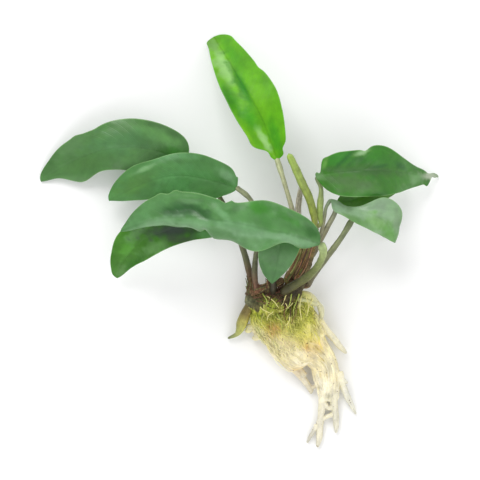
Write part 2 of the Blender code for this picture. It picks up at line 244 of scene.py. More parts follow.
class Skin:
    """A material that shows the vertex tint times a grey pattern. Pattern sizes are in features a metre."""

    def __init__(self, name, roughness, specular, subsurface=0.0, coat=0.0, coat_roughness=0.3):
        self.material = bpy.data.materials.new(name)
        self.material.use_nodes = True
        self.tree = self.material.node_tree
        self.shader = self.tree.nodes["Principled BSDF"]
        settings = {"Roughness": roughness, "Specular IOR Level": specular, "Coat Weight": coat,
                    "Coat Roughness": coat_roughness, "Subsurface Weight": subsurface,
                    "Subsurface Radius": (1.0, 1.0, 0.6), "Subsurface Scale": MM}
        for key, value in settings.items():
            self.shader.inputs[key].default_value = value
        self.place = self.node("ShaderNodeTexCoord").outputs["Object"]

    def node(self, kind, inputs=None, **settings):
        node = self.tree.nodes.new(kind)
        for key, value in settings.items():
            setattr(node, key, value)
        for key, value in (inputs or {}).items():
            if isinstance(value, bpy.types.NodeSocket):
                self.tree.links.new(value, node.inputs[key])
            else:
                node.inputs[key].default_value = value
        return node

    def math(self, operation, *values):
        return self.node("ShaderNodeMath", dict(enumerate(values)), operation=operation).outputs[0]

    def plus(self, value, *terms):
        """The value plus each (value, weight) term."""
        for term, weight in terms:
            value = self.math("ADD", value, self.math("MULTIPLY", term, weight))
        return value

    def noise(self, scale, detail=3.0, roughness=0.55):
        inputs = {"Vector": self.place, "Scale": scale, "Detail": detail, "Roughness": roughness}
        return self.node("ShaderNodeTexNoise", inputs).outputs["Fac"]

    def between(self, value, low, high, from_low=0.0, from_high=1.0):
        inputs = {"Value": value, "From Min": from_low, "From Max": from_high, "To Min": low, "To Max": high}
        return self.node("ShaderNodeMapRange", inputs).outputs["Result"]

    def mottle(self, value, low, high):
        """The noise value spread from low to high. Most of a noise lies between 0.3 and 0.7."""
        return self.between(value, low, high, 0.3, 0.7)

    def lines(self, place):
        """Distance from the nearest line: 0 on a line and 0.5 halfway to the next one."""
        return self.math("PINGPONG", place, 0.5)

    def attribute(self, name, output="Fac"):
        return self.node("ShaderNodeAttribute", attribute_name=name).outputs[output]

    def shaded(self, shade):
        """The vertex tint times the grey shade."""
        inputs = {0: self.attribute("tint", "Color"), "Scale": shade}
        return self.node("ShaderNodeVectorMath", inputs, operation="SCALE").outputs["Vector"]

    def use(self, socket, value):
        self.tree.links.new(value, self.shader.inputs[socket])

    def bump(self, height, distance):
        inputs = {"Height": height, "Distance": distance, "Strength": 1.0}
        self.use("Normal", self.node("ShaderNodeBump", inputs).outputs["Normal"])


def leaf_material(name, roughness, subsurface, coat, specular=0.5):
    """Waxy leaf: mottled cells, side veins with finer ones between them, and a slightly uneven gloss."""
    skin = Skin(name, roughness, specular, subsurface, coat, coat_roughness=0.32)
    place = skin.attribute("vein")
    vein = skin.between(skin.lines(place), 1.0, 0.0, 0.0, 0.07)
    fine = skin.between(skin.lines(skin.math("MULTIPLY", place, 4.0)), 1.0, 0.0, 0.0, 0.3)
    cells = skin.noise(2600.0, detail=2.0)
    shade = skin.math("ADD", skin.mottle(skin.noise(260.0), 0.9, 1.1), skin.between(cells, -0.06, 0.06))
    skin.use("Base Color", skin.shaded(skin.plus(shade, (vein, 0.035))))
    skin.use("Roughness", skin.mottle(skin.noise(420.0), roughness - 0.06, roughness + 0.1))
    skin.bump(skin.plus(skin.math("MULTIPLY", vein, -0.5), (fine, -0.12), (cells, 0.35)), 0.06 * MM)
    return skin.material


def stalk_material(name, roughness):
    """Stalks and shoots: long fibres along the stem, and small dark specks."""
    skin = Skin(name, roughness, 0.45, 0.06)
    fibres = skin.lines(skin.math("MULTIPLY", skin.attribute("across"), 9.0))
    mottle = skin.noise(900.0)
    specks = skin.between(skin.noise(2400.0, detail=1.0), 0.0, 1.0, 0.66, 0.72)
    shade = skin.math("ADD", skin.mottle(mottle, 0.87, 1.13), skin.between(fibres, -0.06, 0.06, 0.0, 0.5))
    skin.use("Base Color", skin.shaded(skin.plus(shade, (specks, -0.22))))
    skin.bump(skin.plus(fibres, (mottle, 0.6)), 0.15 * MM)
    return skin.material


def root_material(name, roughness, felt_height):
    """Spongy root skin: a fine felt with a few brown specks."""
    skin = Skin(name, roughness, 0.3, 0.2)
    felt = skin.noise(1500.0, 4.0, 0.65)
    specks = skin.between(skin.noise(760.0, detail=1.0), 0.0, 1.0, 0.705, 0.76)
    shade = skin.math("ADD", skin.mottle(felt, 0.92, 1.1), skin.mottle(skin.noise(330.0), -0.07, 0.07))
    speckled = skin.math("MULTIPLY", specks, 0.75)
    inputs = {"Factor": speckled, MIX_A: skin.shaded(shade), MIX_B: (*rgb(SPECK), 1)}
    skin.use("Base Color", skin.node("ShaderNodeMix", inputs, data_type="RGBA").outputs[MIX_RESULT])
    skin.bump(felt, felt_height * MM)
    return skin.material


def rhizome_material():
    """Rhizome bark: cracked, dull and blotchy."""
    skin = Skin("rhizome_skin", 0.68, 0.35)
    inputs = {"Vector": skin.place, "Scale": 700.0}
    cracks = skin.node("ShaderNodeTexVoronoi", inputs, feature="DISTANCE_TO_EDGE")
    crack = skin.between(cracks.outputs["Distance"], 1.0, 0.0, 0.0, 0.09)
    blotch = skin.noise(520.0, 4.0, 0.6)
    skin.use("Base Color", skin.shaded(skin.plus(skin.mottle(blotch, 0.6, 1.4), (crack, -0.25))))
    skin.bump(skin.plus(blotch, (crack, -0.4)), 0.5 * MM)
    return skin.material


# ------------------------ leaf blades

BLADE_ROWS = 120
BLADE_COLUMNS = 28  # on each side of the midrib
CROWD_MIDRIB = 1.35  # power that crowds the columns towards the midrib
BLADE_END = 0.45  # the least half-width, at both ends
LEAST_BEND = 1e-3  # radians; a half-blade is never quite flat, so that its bend can be divided by
BLADE_THICK = (0.6, 0.32)  # at the midrib and at the margin
KEEL = (1.0, 0.25, 0.9)  # the rib under the midrib: depth at the base, at the tip, and its half-width
# How deep the crease over the midrib is, which also sets the painted shade along it, and the same for the
# blades that aren't listed.
GROOVE = {"leaf_upright": 0.15, "leaf_front": 0.1, "leaf_right_folded": 0.04, "leaf_front_left": 0.01}
SHALLOW = 0.06
GROOVE_HALF = 0.55
PILLOW = 0.025  # height of the soft pillows between side veins
UNDULATION = 0.22  # height of the slow waves over a blade
FADE = 4  # how fast dents, pillows and waves fade in from the margin
VEIN_SPACING = 4.2
VEIN_SLANT = 1.15  # how far a side vein runs forward for each mm it runs out
DENT_SHARP, PAINT_SHARP = 2.6, 3.3  # how quickly dents and patches of colour end at their edges
RAGGED = 0.3  # how uneven the edges of the patches of colour are
RIM = 0.035  # the share of the half-width that gets a painted highlight along the margin
RIM_STRENGTH = 0.4
UNDERSIDE = 0.45  # how much paler the underside is
GLOSS = 0.03  # taken off the colours as seen, because the skin's gloss adds it again

YOUNG = (98, 163, 12)
# The next two: painted shade in a hollow of the young leaf, and a painted highlight on it.
YOUNG_HOLLOW_SHADE = (40, 106, 12)
YOUNG_HIGHLIGHT = (146, 192, 118)
GREEN = (80, 121, 70)
SHEEN = (140, 180, 142)
# A painted highlight for the leaf margins.
RIM_HIGHLIGHT = (158, 200, 134)

# midrib: its points from the base to the tip. left, right: half-widths, closer together towards both
# ends. lean, fold, curl_left, curl_right: degrees, along the blade, that it leans over, folds up at the
# midrib and curls towards each margin. wave: a ripple's degrees, count and phase. nicks move the margin
# out at (place along, side, reach, mm). tones are soft patches of colour (x, y, long reach, short
# reach, turn in degrees, colour, strength): some are the leaf's own colour, and many are painted
# highlights and sheen where a fold faces the light, painted shade in hollows and painted shadow cast by
# a blade above. dents are the same with a height in mm.
Blade = namedtuple("Blade", "node midrib left right lean fold curl_left curl_right wave kind base nicks "
                            "tones dents")

BLADES = (
    Blade("leaf_upright",
        [(16.9, 36.6, 27), (10.3, 54.5, 30), (4.8, 64.5, 28), (-0.6, 74, 22), (-6.2, 84, 11.5),
         (-11.7, 93.6, 0.8)],
        (3.2, 8, 10.5, 10.8, 10.4, 9, 7.2, 5.3, 3.8), (4.8, 7.5, 10, 12, 11.6, 10, 8.5, 6.6, 3.9), (0, 0, 0),
        (12, 10, 6), (0, 8, 4), (0, -10, -6), (8, 2.5, 0.1), "young", YOUNG,
        ((0.05, -1, 0.025, -2.2), (0.1, -1, 0.03, 0.8), (0.04, 1, 0.02, -1.6), (0.58, 1, 0.05, -0.7),
         (0.985, -1, 0.025, 0.7), (0.93, 1, 0.05, 0.9)),
        # The pale patches at (-6.8, 78.6) and (10.6, 45.4) are painted highlights, and the deep green patch
        # over the dent near (-4, 66) is painted shade.
        ((-6.8, 78.6, 11, 3.5, -63, YOUNG_HIGHLIGHT, 0.9), (-12.5, 90, 4.5, 3, -50, (110, 152, 84), 0.8),
         (-4.6, 64.5, 8, 4, -62, YOUNG_HOLLOW_SHADE, 0.6), (1.5, 69, 13, 2.2, -62, (48, 118, 26), 0.8),
         (10.6, 45.4, 8, 1.8, -56, (156, 202, 126), 0.9), (5, 54, 6, 2.5, -62, (66, 142, 44), 0.7),
         (16, 47, 10, 2.4, -76, (74, 150, 14), 0.8), (3.5, 47, 7, 1.2, -58, (128, 184, 60), 0.6),
         (9, 63, 9, 4, -68, (112, 176, 36), 0.7), (-3, 85, 8, 2.5, -60, (84, 156, 28), 0.7)),
        ((-8, 80, 10, 3.5, -62, 0.6), (-4, 66, 6, 4, -62, -0.4), (8.5, 49, 8, 3, -62, 0.5))),
    Blade("leaf_far_left",
        [(-25, 34.5, 11), (-35, 40, 14), (-48, 42.5, 15), (-62, 41.5, 11.5), (-77.3, 36, 5),
         (-91.2, 27.5, 0.7)],
        (3, 7, 10, 11.5, 10.5, 9.2, 10.5, 3.6, 1.2), (6, 10.2, 12, 13, 12.8, 10, 9, 5.7, 3), (0, 4, 0),
        (6, 4, 4), (0, -16, -8), (0, -14, -8), (12, 3, 0.3), "mature", GREEN,
        ((0.72, 1, 0.03, 0.7), (0.62, 1, 0.03, -0.4)),
        ((-35, 47, 12, 3, -24, (98, 148, 84), 0.8), (-76, 44, 9, 4, 35, (92, 128, 84), 0.7),
         (-55, 44, 14, 5, 8, (82, 126, 82), 0.6), (-70, 36, 12, 3, 18, (76, 116, 62), 0.6),
         (-40, 34, 9, 2.5, 22, (60, 100, 58), 0.7), (-29, 40, 4, 3, -40, (78, 140, 66), 0.6)),
        ((-57, 47, 14, 4, 10, 0.5), (-70, 34, 8, 4, 10, -0.6), (-36, 46, 8, 3, -25, 0.5))),
    Blade("leaf_left",
        [(-1.2, 23.8, 20), (-14, 27.5, 23), (-28, 29.5, 23), (-42, 26.5, 18), (-59.5, 18.6, 9.5)],
        (2.2, 5.2, 9, 11, 11.5, 10, 7.3, 4, 1.2), (4, 7.9, 9.5, 10.7, 10.2, 9, 9.2, 6.8, 3.3), (0, 6, 0),
        (8, 4, 4), (0, -18, -8), (0, -14, -8), (8, 2, 0.6), "mature", (84, 134, 76), ((0.02, 1, 0.012, 1.2),),
        # The two palest patches, at (-43, 32.5) and (-6, 29.5), are painted sheen.
        ((-43, 32.5, 5, 1.2, 22, (140, 182, 132), 0.6), (-6, 29.5, 5, 2, -38, (124, 166, 122), 0.6),
         (-46, 26, 10, 4, 30, (84, 130, 64), 0.7), (-26, 28, 12, 6, 0, (90, 146, 88), 0.7),
         (-15, 24, 10, 4, -20, (78, 124, 70), 0.6), (-30, 38, 14, 2, 4, (98, 152, 98), 0.6)),
        ((-42, 32, 8, 2.5, 22, 0.6), (-8, 29, 6, 3, -35, 0.5), (-25, 24, 10, 5, 0, -0.6))),
    Blade("leaf_front",
        [(35.4, -1.3, 47), (24, 2.5, 52), (10, 5.5, 54.5), (-5, 8.5, 54.5), (-22, 10.5, 50), (-38, 9.5, 42),
         (-53, 4.5, 31)],
        (2, 6, 6, 11.5, 11, 12, 8.5, 3.2, 1.2), (5, 8.4, 10.7, 12.4, 8.6, 11, 10.8, 6.6, 2.3), (0, 0, 0),
        (-4, -4, -4), (-30, -75, -45, -60, -80, -100, -60), (-10, 6, -10), (14, 3, 0.35), "mature",
        (84, 130, 76),
        ((0.67, -1, 0.075, -5.4), (0.8, -1, 0.06, -1.6), (0.6, -1, 0.02, -3.5), (0.5, 1, 0.01, 0.9),
         (0.53, 1, 0.012, -0.8), (0.73, 1, 0.014, 0.8), (0.765, 1, 0.012, -0.6), (0.8, 1, 0.012, 0.6)),
        # The three darkest patches, over the hollow near (-25, 14), are painted shade, and the four pale
        # patches along the fold below the midrib are a painted sheen band.
        ((-25.5, 14, 10.5, 3.3, 4, (58, 98, 58), 0.95), (-17, 12.2, 6.5, 2.3, -28, (56, 94, 54), 0.85),
         (-32, 13.6, 4.5, 2, -24, (56, 92, 54), 0.8), (-22, 17.5, 5, 1.1, -10, (104, 150, 98), 0.7),
         (-37, 8.2, 10, 2.2, 8, (128, 166, 126), 0.6), (-20, 8, 10, 2, -6, (124, 164, 122), 0.6),
         (4, 4.5, 15, 3, -14, (112, 156, 110), 0.7), (21, 1, 12, 2, -12, (128, 168, 126), 0.7),
         (8, 14.5, 7, 2.6, -22, (64, 128, 46), 0.9), (20, 11, 7, 1.6, -30, (64, 122, 50), 0.9),
         (-2, 14, 5, 1.6, 20, (66, 112, 58), 0.8), (12, 8, 6, 2.5, -55, (70, 122, 60), 0.6),
         (31.5, 4.5, 4, 2.4, -45, (56, 98, 50), 0.85), (-38, 15, 8, 3, 25, (94, 142, 88), 0.6),
         (-46, 8, 7, 3, 40, (92, 140, 88), 0.7), (-8, 12, 5, 1.6, -50, (118, 164, 116), 0.6)),
        ((-26.5, 14.5, 8.5, 2.7, 6, -1.6), (-17.5, 12, 5, 1.5, -30, -0.7), (-24, 19.5, 10, 1.6, 0, 0.9),
         (-12, 13.5, 4, 3, -40, 0.9), (-17, 7, 10, 2, -4, 0.6), (22, 9, 7, 2, -28, -0.7),
         (31, 5, 4, 2.5, -40, -1.0))),
    Blade("leaf_front_left",
        [(-8, 5, 33), (-22, 6.5, 32), (-36, 3.5, 28), (-46, -1.5, 22), (-52.5, -9, 14), (-56, -16.7, 6)],
        (3, 5, 6.5, 7.5, 8.5, 7.7, 5.1, 3.1, 1.3), (2, 4.5, 7, 8.6, 9.4, 9.4, 6.8, 4.3, 2.5), (0, 6, 10),
        (8, 8, 6), (0, 8, 4), (0, -20, -10), (10, 2, 0.2), "young", (74, 120, 54), (),
        ((-38, -3, 6, 3, 25, (105, 148, 90), 0.85), (-51, -3, 5, 3, 60, (93, 151, 67), 0.8),
         (-46, 4, 7, 2, 35, (108, 148, 98), 0.6), (-48, -11, 6, 2.5, 40, (68, 117, 54), 0.8),
         # The two grey patches, at (-30, 4.5) and (-25, 0), are painted shadow cast by the front leaf's
         # curled rim.
         (-54, -14, 3, 2.5, 60, (99, 138, 84), 0.7), (-30, 4.5, 13, 3, 3, (68, 76, 71), 0.95),
         (-25, 0, 9, 2, -6, (76, 93, 71), 0.9), (-14, 2.5, 5, 2.6, 0, (91, 136, 84), 0.95)),
        ((-50, -4, 6, 3, 50, 0.6), (-46, -8, 6, 3, 40, -0.6))),
    Blade("leaf_hanging",
        [(19.5, 10.5, 35.5), (18.6, 6, 39.5), (17.8, -3, 40), (16.7, -11.5, 36), (14.6, -18.9, 30)],
        (2.5, 5.5, 8.5, 9.6, 8.8, 6.8, 4.2, 2.1, 0.8), (2.5, 5.5, 8.5, 9.6, 9.4, 8.9, 7.5, 5, 1.8), (0, 0, 0),
        (4, 6, 4), (0, -10, -6), (0, -10, -6), (5, 2, 0), "mature", (73, 118, 65), (),
        ((20, -8, 6, 3, -80, (82, 129, 73), 0.7), (12, -8, 6, 2, -80, (78, 126, 68), 0.7),
         (16, -3, 9, 2, 0, (71, 113, 63), 0.7)),
        ((18, -8, 6, 3, -80, 0.4),)),
    Blade("leaf_right",
        [(34.2, 29.4, 26.5), (44, 30.8, 30), (57, 31.6, 30), (70, 31.3, 22), (81.3, 30.1, 10.5),
         (91.2, 29.6, 0.9)],
        (1.3, 6, 8.8, 9.4, 11.5, 6.7, 3.5, 2.3, 1.2), (3, 7.5, 10.7, 11.8, 11.5, 9.1, 5.5, 2.9, 0.6),
        (0, 0, 0), (8, 6, 6), (0, -16, -8), (0, -18, -8), (14, 2.5, 0.75), "mature", (66, 120, 46),
        ((0.05, -1, 0.022, -2), (0.012, -1, 0.015, 0.8), (0.1, -1, 0.03, 0.8), (0.4, -1, 0.03, -1.3),
         (0.89, 1, 0.02, 1.5), (0.94, 1, 0.018, -1.6), (0.9, -1, 0.04, -1.2)),
        ((43.5, 37, 6, 3.4, 30, (62, 128, 34), 0.9), (61, 38, 9, 3.6, -20, (66, 124, 40), 0.8),
         (55, 31.5, 20, 2.4, -2, (70, 104, 62), 0.8), (50, 26, 12, 3.6, -8, (84, 116, 72), 0.85),
         # The small pale patch at (55, 39.6) is a painted highlight at the notch.
         (66, 25, 9, 3, 14, (70, 122, 50), 0.7), (55, 39.6, 2.8, 1, 25, (150, 186, 138), 0.9),
         (47, 36.5, 5, 0.9, 42, (52, 100, 38), 0.85), (50, 35, 4, 0.7, 44, (56, 104, 40), 0.7),
         (63, 33.6, 4.5, 0.8, 12, (52, 96, 42), 0.8), (73, 33.5, 3.5, 1.2, -30, (54, 104, 38), 0.8),
         (88, 29.6, 5, 1.8, -4, (172, 184, 160), 0.95), (80, 28.5, 3.5, 2.5, 0, (118, 158, 108), 0.7),
         (36, 29.5, 3.5, 2.4, 0, (112, 150, 100), 0.75), (38.5, 35, 3, 1, 70, (112, 164, 84), 0.6)),
        ((56, 36, 5, 2.2, 38, -0.9), (64, 38, 7, 4, -20, 0.7), (46, 36, 5, 3, 35, 0.5))),
    Blade("leaf_right_folded",
        [(41.2, 18.6, 21.5), (48, 14.8, 26), (57, 12.8, 30), (64.5, 9, 28), (68.5, 4, 24), (70.2, -0.6, 19)],
        (0.8, 1.3, 1, 2.6, 9.4, 9.7, 4.4, 2, 0.8), (1.1, 3.6, 3.8, 6.2, 6.7, 6.4, 4.5, 2.7, 0.9), (0, 0, 0),
        # Its pale grey-green base colour and the grey-blue patches over the upper part are painted sheen
        # where the fold faces the light; the greener patches lower down are its own colour.
        (4, 4, 4), (0, -20, -10), (0, -20, -10), (6, 2, 0.5), "pale", (127, 160, 120), (),
        ((62, 15, 6, 3, 20, (127, 152, 124), 0.85), (55, 12.5, 7, 1.8, 0, (142, 173, 138), 0.8),
         (62, 8, 6, 3, -25, (114, 160, 89), 0.85), (68, 3, 5, 2.6, -60, (99, 154, 76), 0.85),
         (55, 8, 7, 1.8, -25, (103, 146, 87), 0.8), (45, 14.5, 4, 2, -35, (140, 173, 138), 0.7),
         (71, 9, 5, 1.8, 85, (114, 141, 106), 0.7), (48, 11, 4, 1.2, -20, (112, 150, 95), 0.7)),
        ((57, 13, 8, 1.5, -12, 0.5), (64, 7, 6, 3, -30, -0.5))),
    Blade("leaf_right_back",
        [(44.2, 17.4, 17.8), (52, 18.6, 18.5), (61, 22, 15.5), (69, 25, 10), (76, 26.5, 4.5)],
        (1.8, 4, 5.8, 7, 7.2, 6.4, 4.8, 2.8, 1.1), (1.8, 3.4, 4.6, 5.2, 5.2, 4.8, 3.8, 2.4, 1), (0, 0, 0),
        (8, 6, 6), (0, -14, -8), (0, -14, -8), (6, 2, 0.2), "mature", (81, 127, 51), (),
        ((49, 19, 4, 2.5, 0, (73, 117, 45), 0.7),), ()),
    Blade("leaf_right_under",
        [(52.2, 11, 17.2), (57, 11.3, 14.8), (61.5, 10, 11), (65.5, 7, 6.8), (68.5, 3.5, 3)],
        (1.4, 2.8, 4, 4.6, 4.6, 4.2, 3.2, 2, 0.8), (1.4, 2.8, 4, 4.6, 4.6, 4.2, 3.2, 2, 0.8), (0, 0, 0),
        (8, 6, 6), (0, -10, -6), (0, -10, -6), (5, 2, 0.6), "young", (84, 136, 62), (),
        ((60, 10, 5, 2.4, -20, (100, 152, 80), 0.6),), ()),
)

SLOTS = {"young": "young_leaf", "mature": "leaf", "pale": "pale_leaf"}


def blade_middle(blade, t, u):
    """Points of the blade's middle sheet, its half-widths, and its place along the midrib."""
    share = (1 - np.cos(pi * t)) / 2
    here = smooth(blade.midrib, share)
    ahead, behind = np.minimum(share + 0.01, 1), np.maximum(share - 0.01, 0)
    along = unit(smooth(blade.midrib, ahead) - smooth(blade.midrib, behind))
    side = unit(np.cross(along, (0, 0, 1)))
    face = np.cross(side, along)
    lean = np.radians(smooth(blade.lean, share))[..., None]
    side, face = side * np.cos(lean) + face * np.sin(lean), face * np.cos(lean) - side * np.sin(lean)
    width = np.where(u < 0, smooth((0, *blade.left, 0), t), smooth((0, *blade.right, 0), t))
    for place, edge, reach, size in blade.nicks:
        width = width + size * bell(share - place, reach) * (u * edge > 0)
    width = np.maximum(width, BLADE_END)
    size, count, phase = blade.wave
    curl = np.where(u < 0, smooth(blade.curl_left, share), smooth(blade.curl_right, share))
    v = np.abs(u)
    ripple = size * np.sin(2 * pi * (count * share + phase)) * v * np.sin(pi * share)
    fold, bend = np.radians(smooth(blade.fold, share)), np.radians(curl + ripple)
    bend = np.where(np.abs(bend) < LEAST_BEND, LEAST_BEND, bend)
    out = width * (np.sin(fold + bend * v) - np.sin(fold)) / bend
    up = width * (np.cos(fold) - np.cos(fold + bend * v)) / bend
    points = here + side * (out * np.sign(u))[..., None] + face * up[..., None]
    return points, width, share


def patch(points, x, y, reach, spread, turn, ragged=0.0, sharp=DENT_SHARP):
    """How strongly each point lies in a soft oval patch seen from above, with a ragged edge if wanted."""
    over, ahead = points[..., 0] - x, points[..., 1] - y
    c, s = np.cos(radians(turn)), np.sin(radians(turn))
    far = np.hypot((over * c + ahead * s) / reach, (ahead * c - over * s) / spread)
    if ragged:
        far = far * (1 + ragged * noise(points, 5, 77))
    return np.exp(-far ** sharp)


def blade_relief(blade, middle, share, u, reach, vein):
    """How far each point is lifted off the middle sheet by dents, pillows between veins and slow waves."""
    inside = np.clip((1 - np.abs(u)) * FADE, 0, 1) * np.sin(pi * np.clip(share, 0.02, 0.98)) ** 0.5
    lift = np.zeros_like(share)
    for x, y, far, spread, turn, depth in blade.dents:
        lift += depth * patch(middle, x, y, far, spread, turn) * inside
    lift += PILLOW * (1 - bell((vein % 1) - 0.5, 0.18) * 2) * -inside * np.clip(reach / 2, 0, 1)
    return lift + UNDULATION * noise(middle, 16, hash_of(blade.node), 2) * inside


def sheet_faces(rows, columns):
    """Faces of a closed plate: an upper grid, a lower one numbered after it, and the wall round them."""
    size = rows * columns
    edge = [i * columns for i in range(rows)] + [(rows - 1) * columns + j for j in range(1, columns)]
    edge += [i * columns + columns - 1 for i in range(rows - 2, -1, -1)]
    edge += [j for j in range(columns - 2, 0, -1)]
    wall = [(a, b, b + size, a + size) for a, b in zip(edge, edge[1:] + edge[:1])]
    return grid_faces(rows, columns).tolist() + grid_faces(rows, columns, size, flip=True).tolist() + wall


def make_blade(blade, materials):
    fine = np.linspace(-1, 1, 2 * BLADE_COLUMNS + 1)
    crowded = np.sign(fine) * np.abs(fine) ** CROWD_MIDRIB
    t, u = np.meshgrid(np.linspace(0, 1, BLADE_ROWS + 1), crowded, indexing="ij")
    middle, width, share = blade_middle(blade, t, u)
    normal = unit(np.cross(np.gradient(middle, axis=1), np.gradient(middle, axis=0)))
    normal *= np.where(normal[..., 2:3].mean() < 0, -1, 1)
    reach = np.abs(u) * width
    length = np.linalg.norm(np.diff(smooth(blade.midrib, np.linspace(0, 1, 60)), axis=0), axis=1).sum()
    vein = (share * length - reach * VEIN_SLANT) / VEIN_SPACING + noise(middle, 30, 7, 1) * 0.15
    lift = blade_relief(blade, middle, share, u, reach, vein)
    thick = BLADE_THICK[1] + (BLADE_THICK[0] - BLADE_THICK[1]) * (1 - np.abs(u) ** 2)
    keel = (KEEL[0] + (KEEL[1] - KEEL[0]) * share) * bell(reach, KEEL[2]) * np.minimum(1, width / 2)
    groove = GROOVE.get(blade.node, SHALLOW)
    crease = groove * bell(reach, GROOVE_HALF) * np.sin(pi * np.clip(share, 0, 1)) ** 0.3
    top = middle + normal * (lift + thick / 2 - crease)[..., None]
    bottom = middle + normal * (lift - thick / 2 - keel)[..., None]
    points = np.concatenate([top.reshape(-1, 3), bottom.reshape(-1, 3)])
    faces = outward(points, sheet_faces(*t.shape))
    tint = blade_tint(blade, middle, share, u, reach)
    under = tint * (1 - UNDERSIDE) + rgb(SHEEN) * UNDERSIDE
    colours = np.concatenate([tint.reshape(-1, 3), under.reshape(-1, 3)])
    return make_piece(blade.node + "_blade", blade.node, SLOTS[blade.kind], materials[blade.kind],
                      points, faces, colours, ("vein", np.tile(vein.ravel(), 2)))


def outward(points, faces):
    """The faces, turned over if the solid they close is inside out."""
    corners = [(f[0], f[k], f[k + 1]) for f in faces for k in range(1, len(f) - 1)]
    a, b, c = (points[[corner[k] for corner in corners]] for k in range(3))
    volume = np.einsum("ij,ij->", a - points[0], np.cross(b - points[0], c - points[0]))
    return faces if volume > 0 else [tuple(f)[::-1] for f in faces]


def blade_tint(blade, middle, share, u, reach):
    """Colour of each point: soft tones of its own colour and of painted light and shade, painted shade along
    the midrib crease, a thin painted highlight along the margin and slow drifts of green.
    """
    tint = np.ones(share.shape + (3,)) * rgb(blade.base)
    drift = noise(middle, 18, hash_of(blade.node) + 1)
    streak = noise(np.stack([share * 18, u * 9, share * 0], -1), 5, hash_of(blade.node) + 2)
    tint = tint * (1 + 0.1 * drift + 0.06 * streak)[..., None]
    for x, y, far, spread, turn, colour, strength in blade.tones:
        own = rgb(colour) * (1 + 0.04 * streak)[..., None]
        tint = mixed(tint, own, strength * patch(middle, x, y, far, spread, turn, RAGGED, PAINT_SHARP))
    # Painted shade along the midrib crease, as deep as its groove, with a faint painted highlight beside it.
    lines = 0.7 * bell(reach, 0.4) - 0.3 * bell(reach - 0.8, 0.3)
    tint = tint * (1 - GROOVE.get(blade.node, SHALLOW) * lines)[..., None]
    # A thin painted highlight along the margin.
    tint = mixed(tint, rgb(RIM_HIGHLIGHT), RIM_STRENGTH * rise(np.abs(u), 1 - RIM, RIM))
    return np.maximum(tint - GLOSS, tint * 0.15)


# ------------------------ stalks, shoots, sheaths and rhizome

GREY_GREEN = (137, 135, 108)
OLIVE = (84, 86, 58)
RED_BROWN = (100, 68, 44)
STRAW = (160, 158, 128)

# Each with its path, its radii and its colours from the base up.
Stem = namedtuple("Stem", "node points radii kind colours")

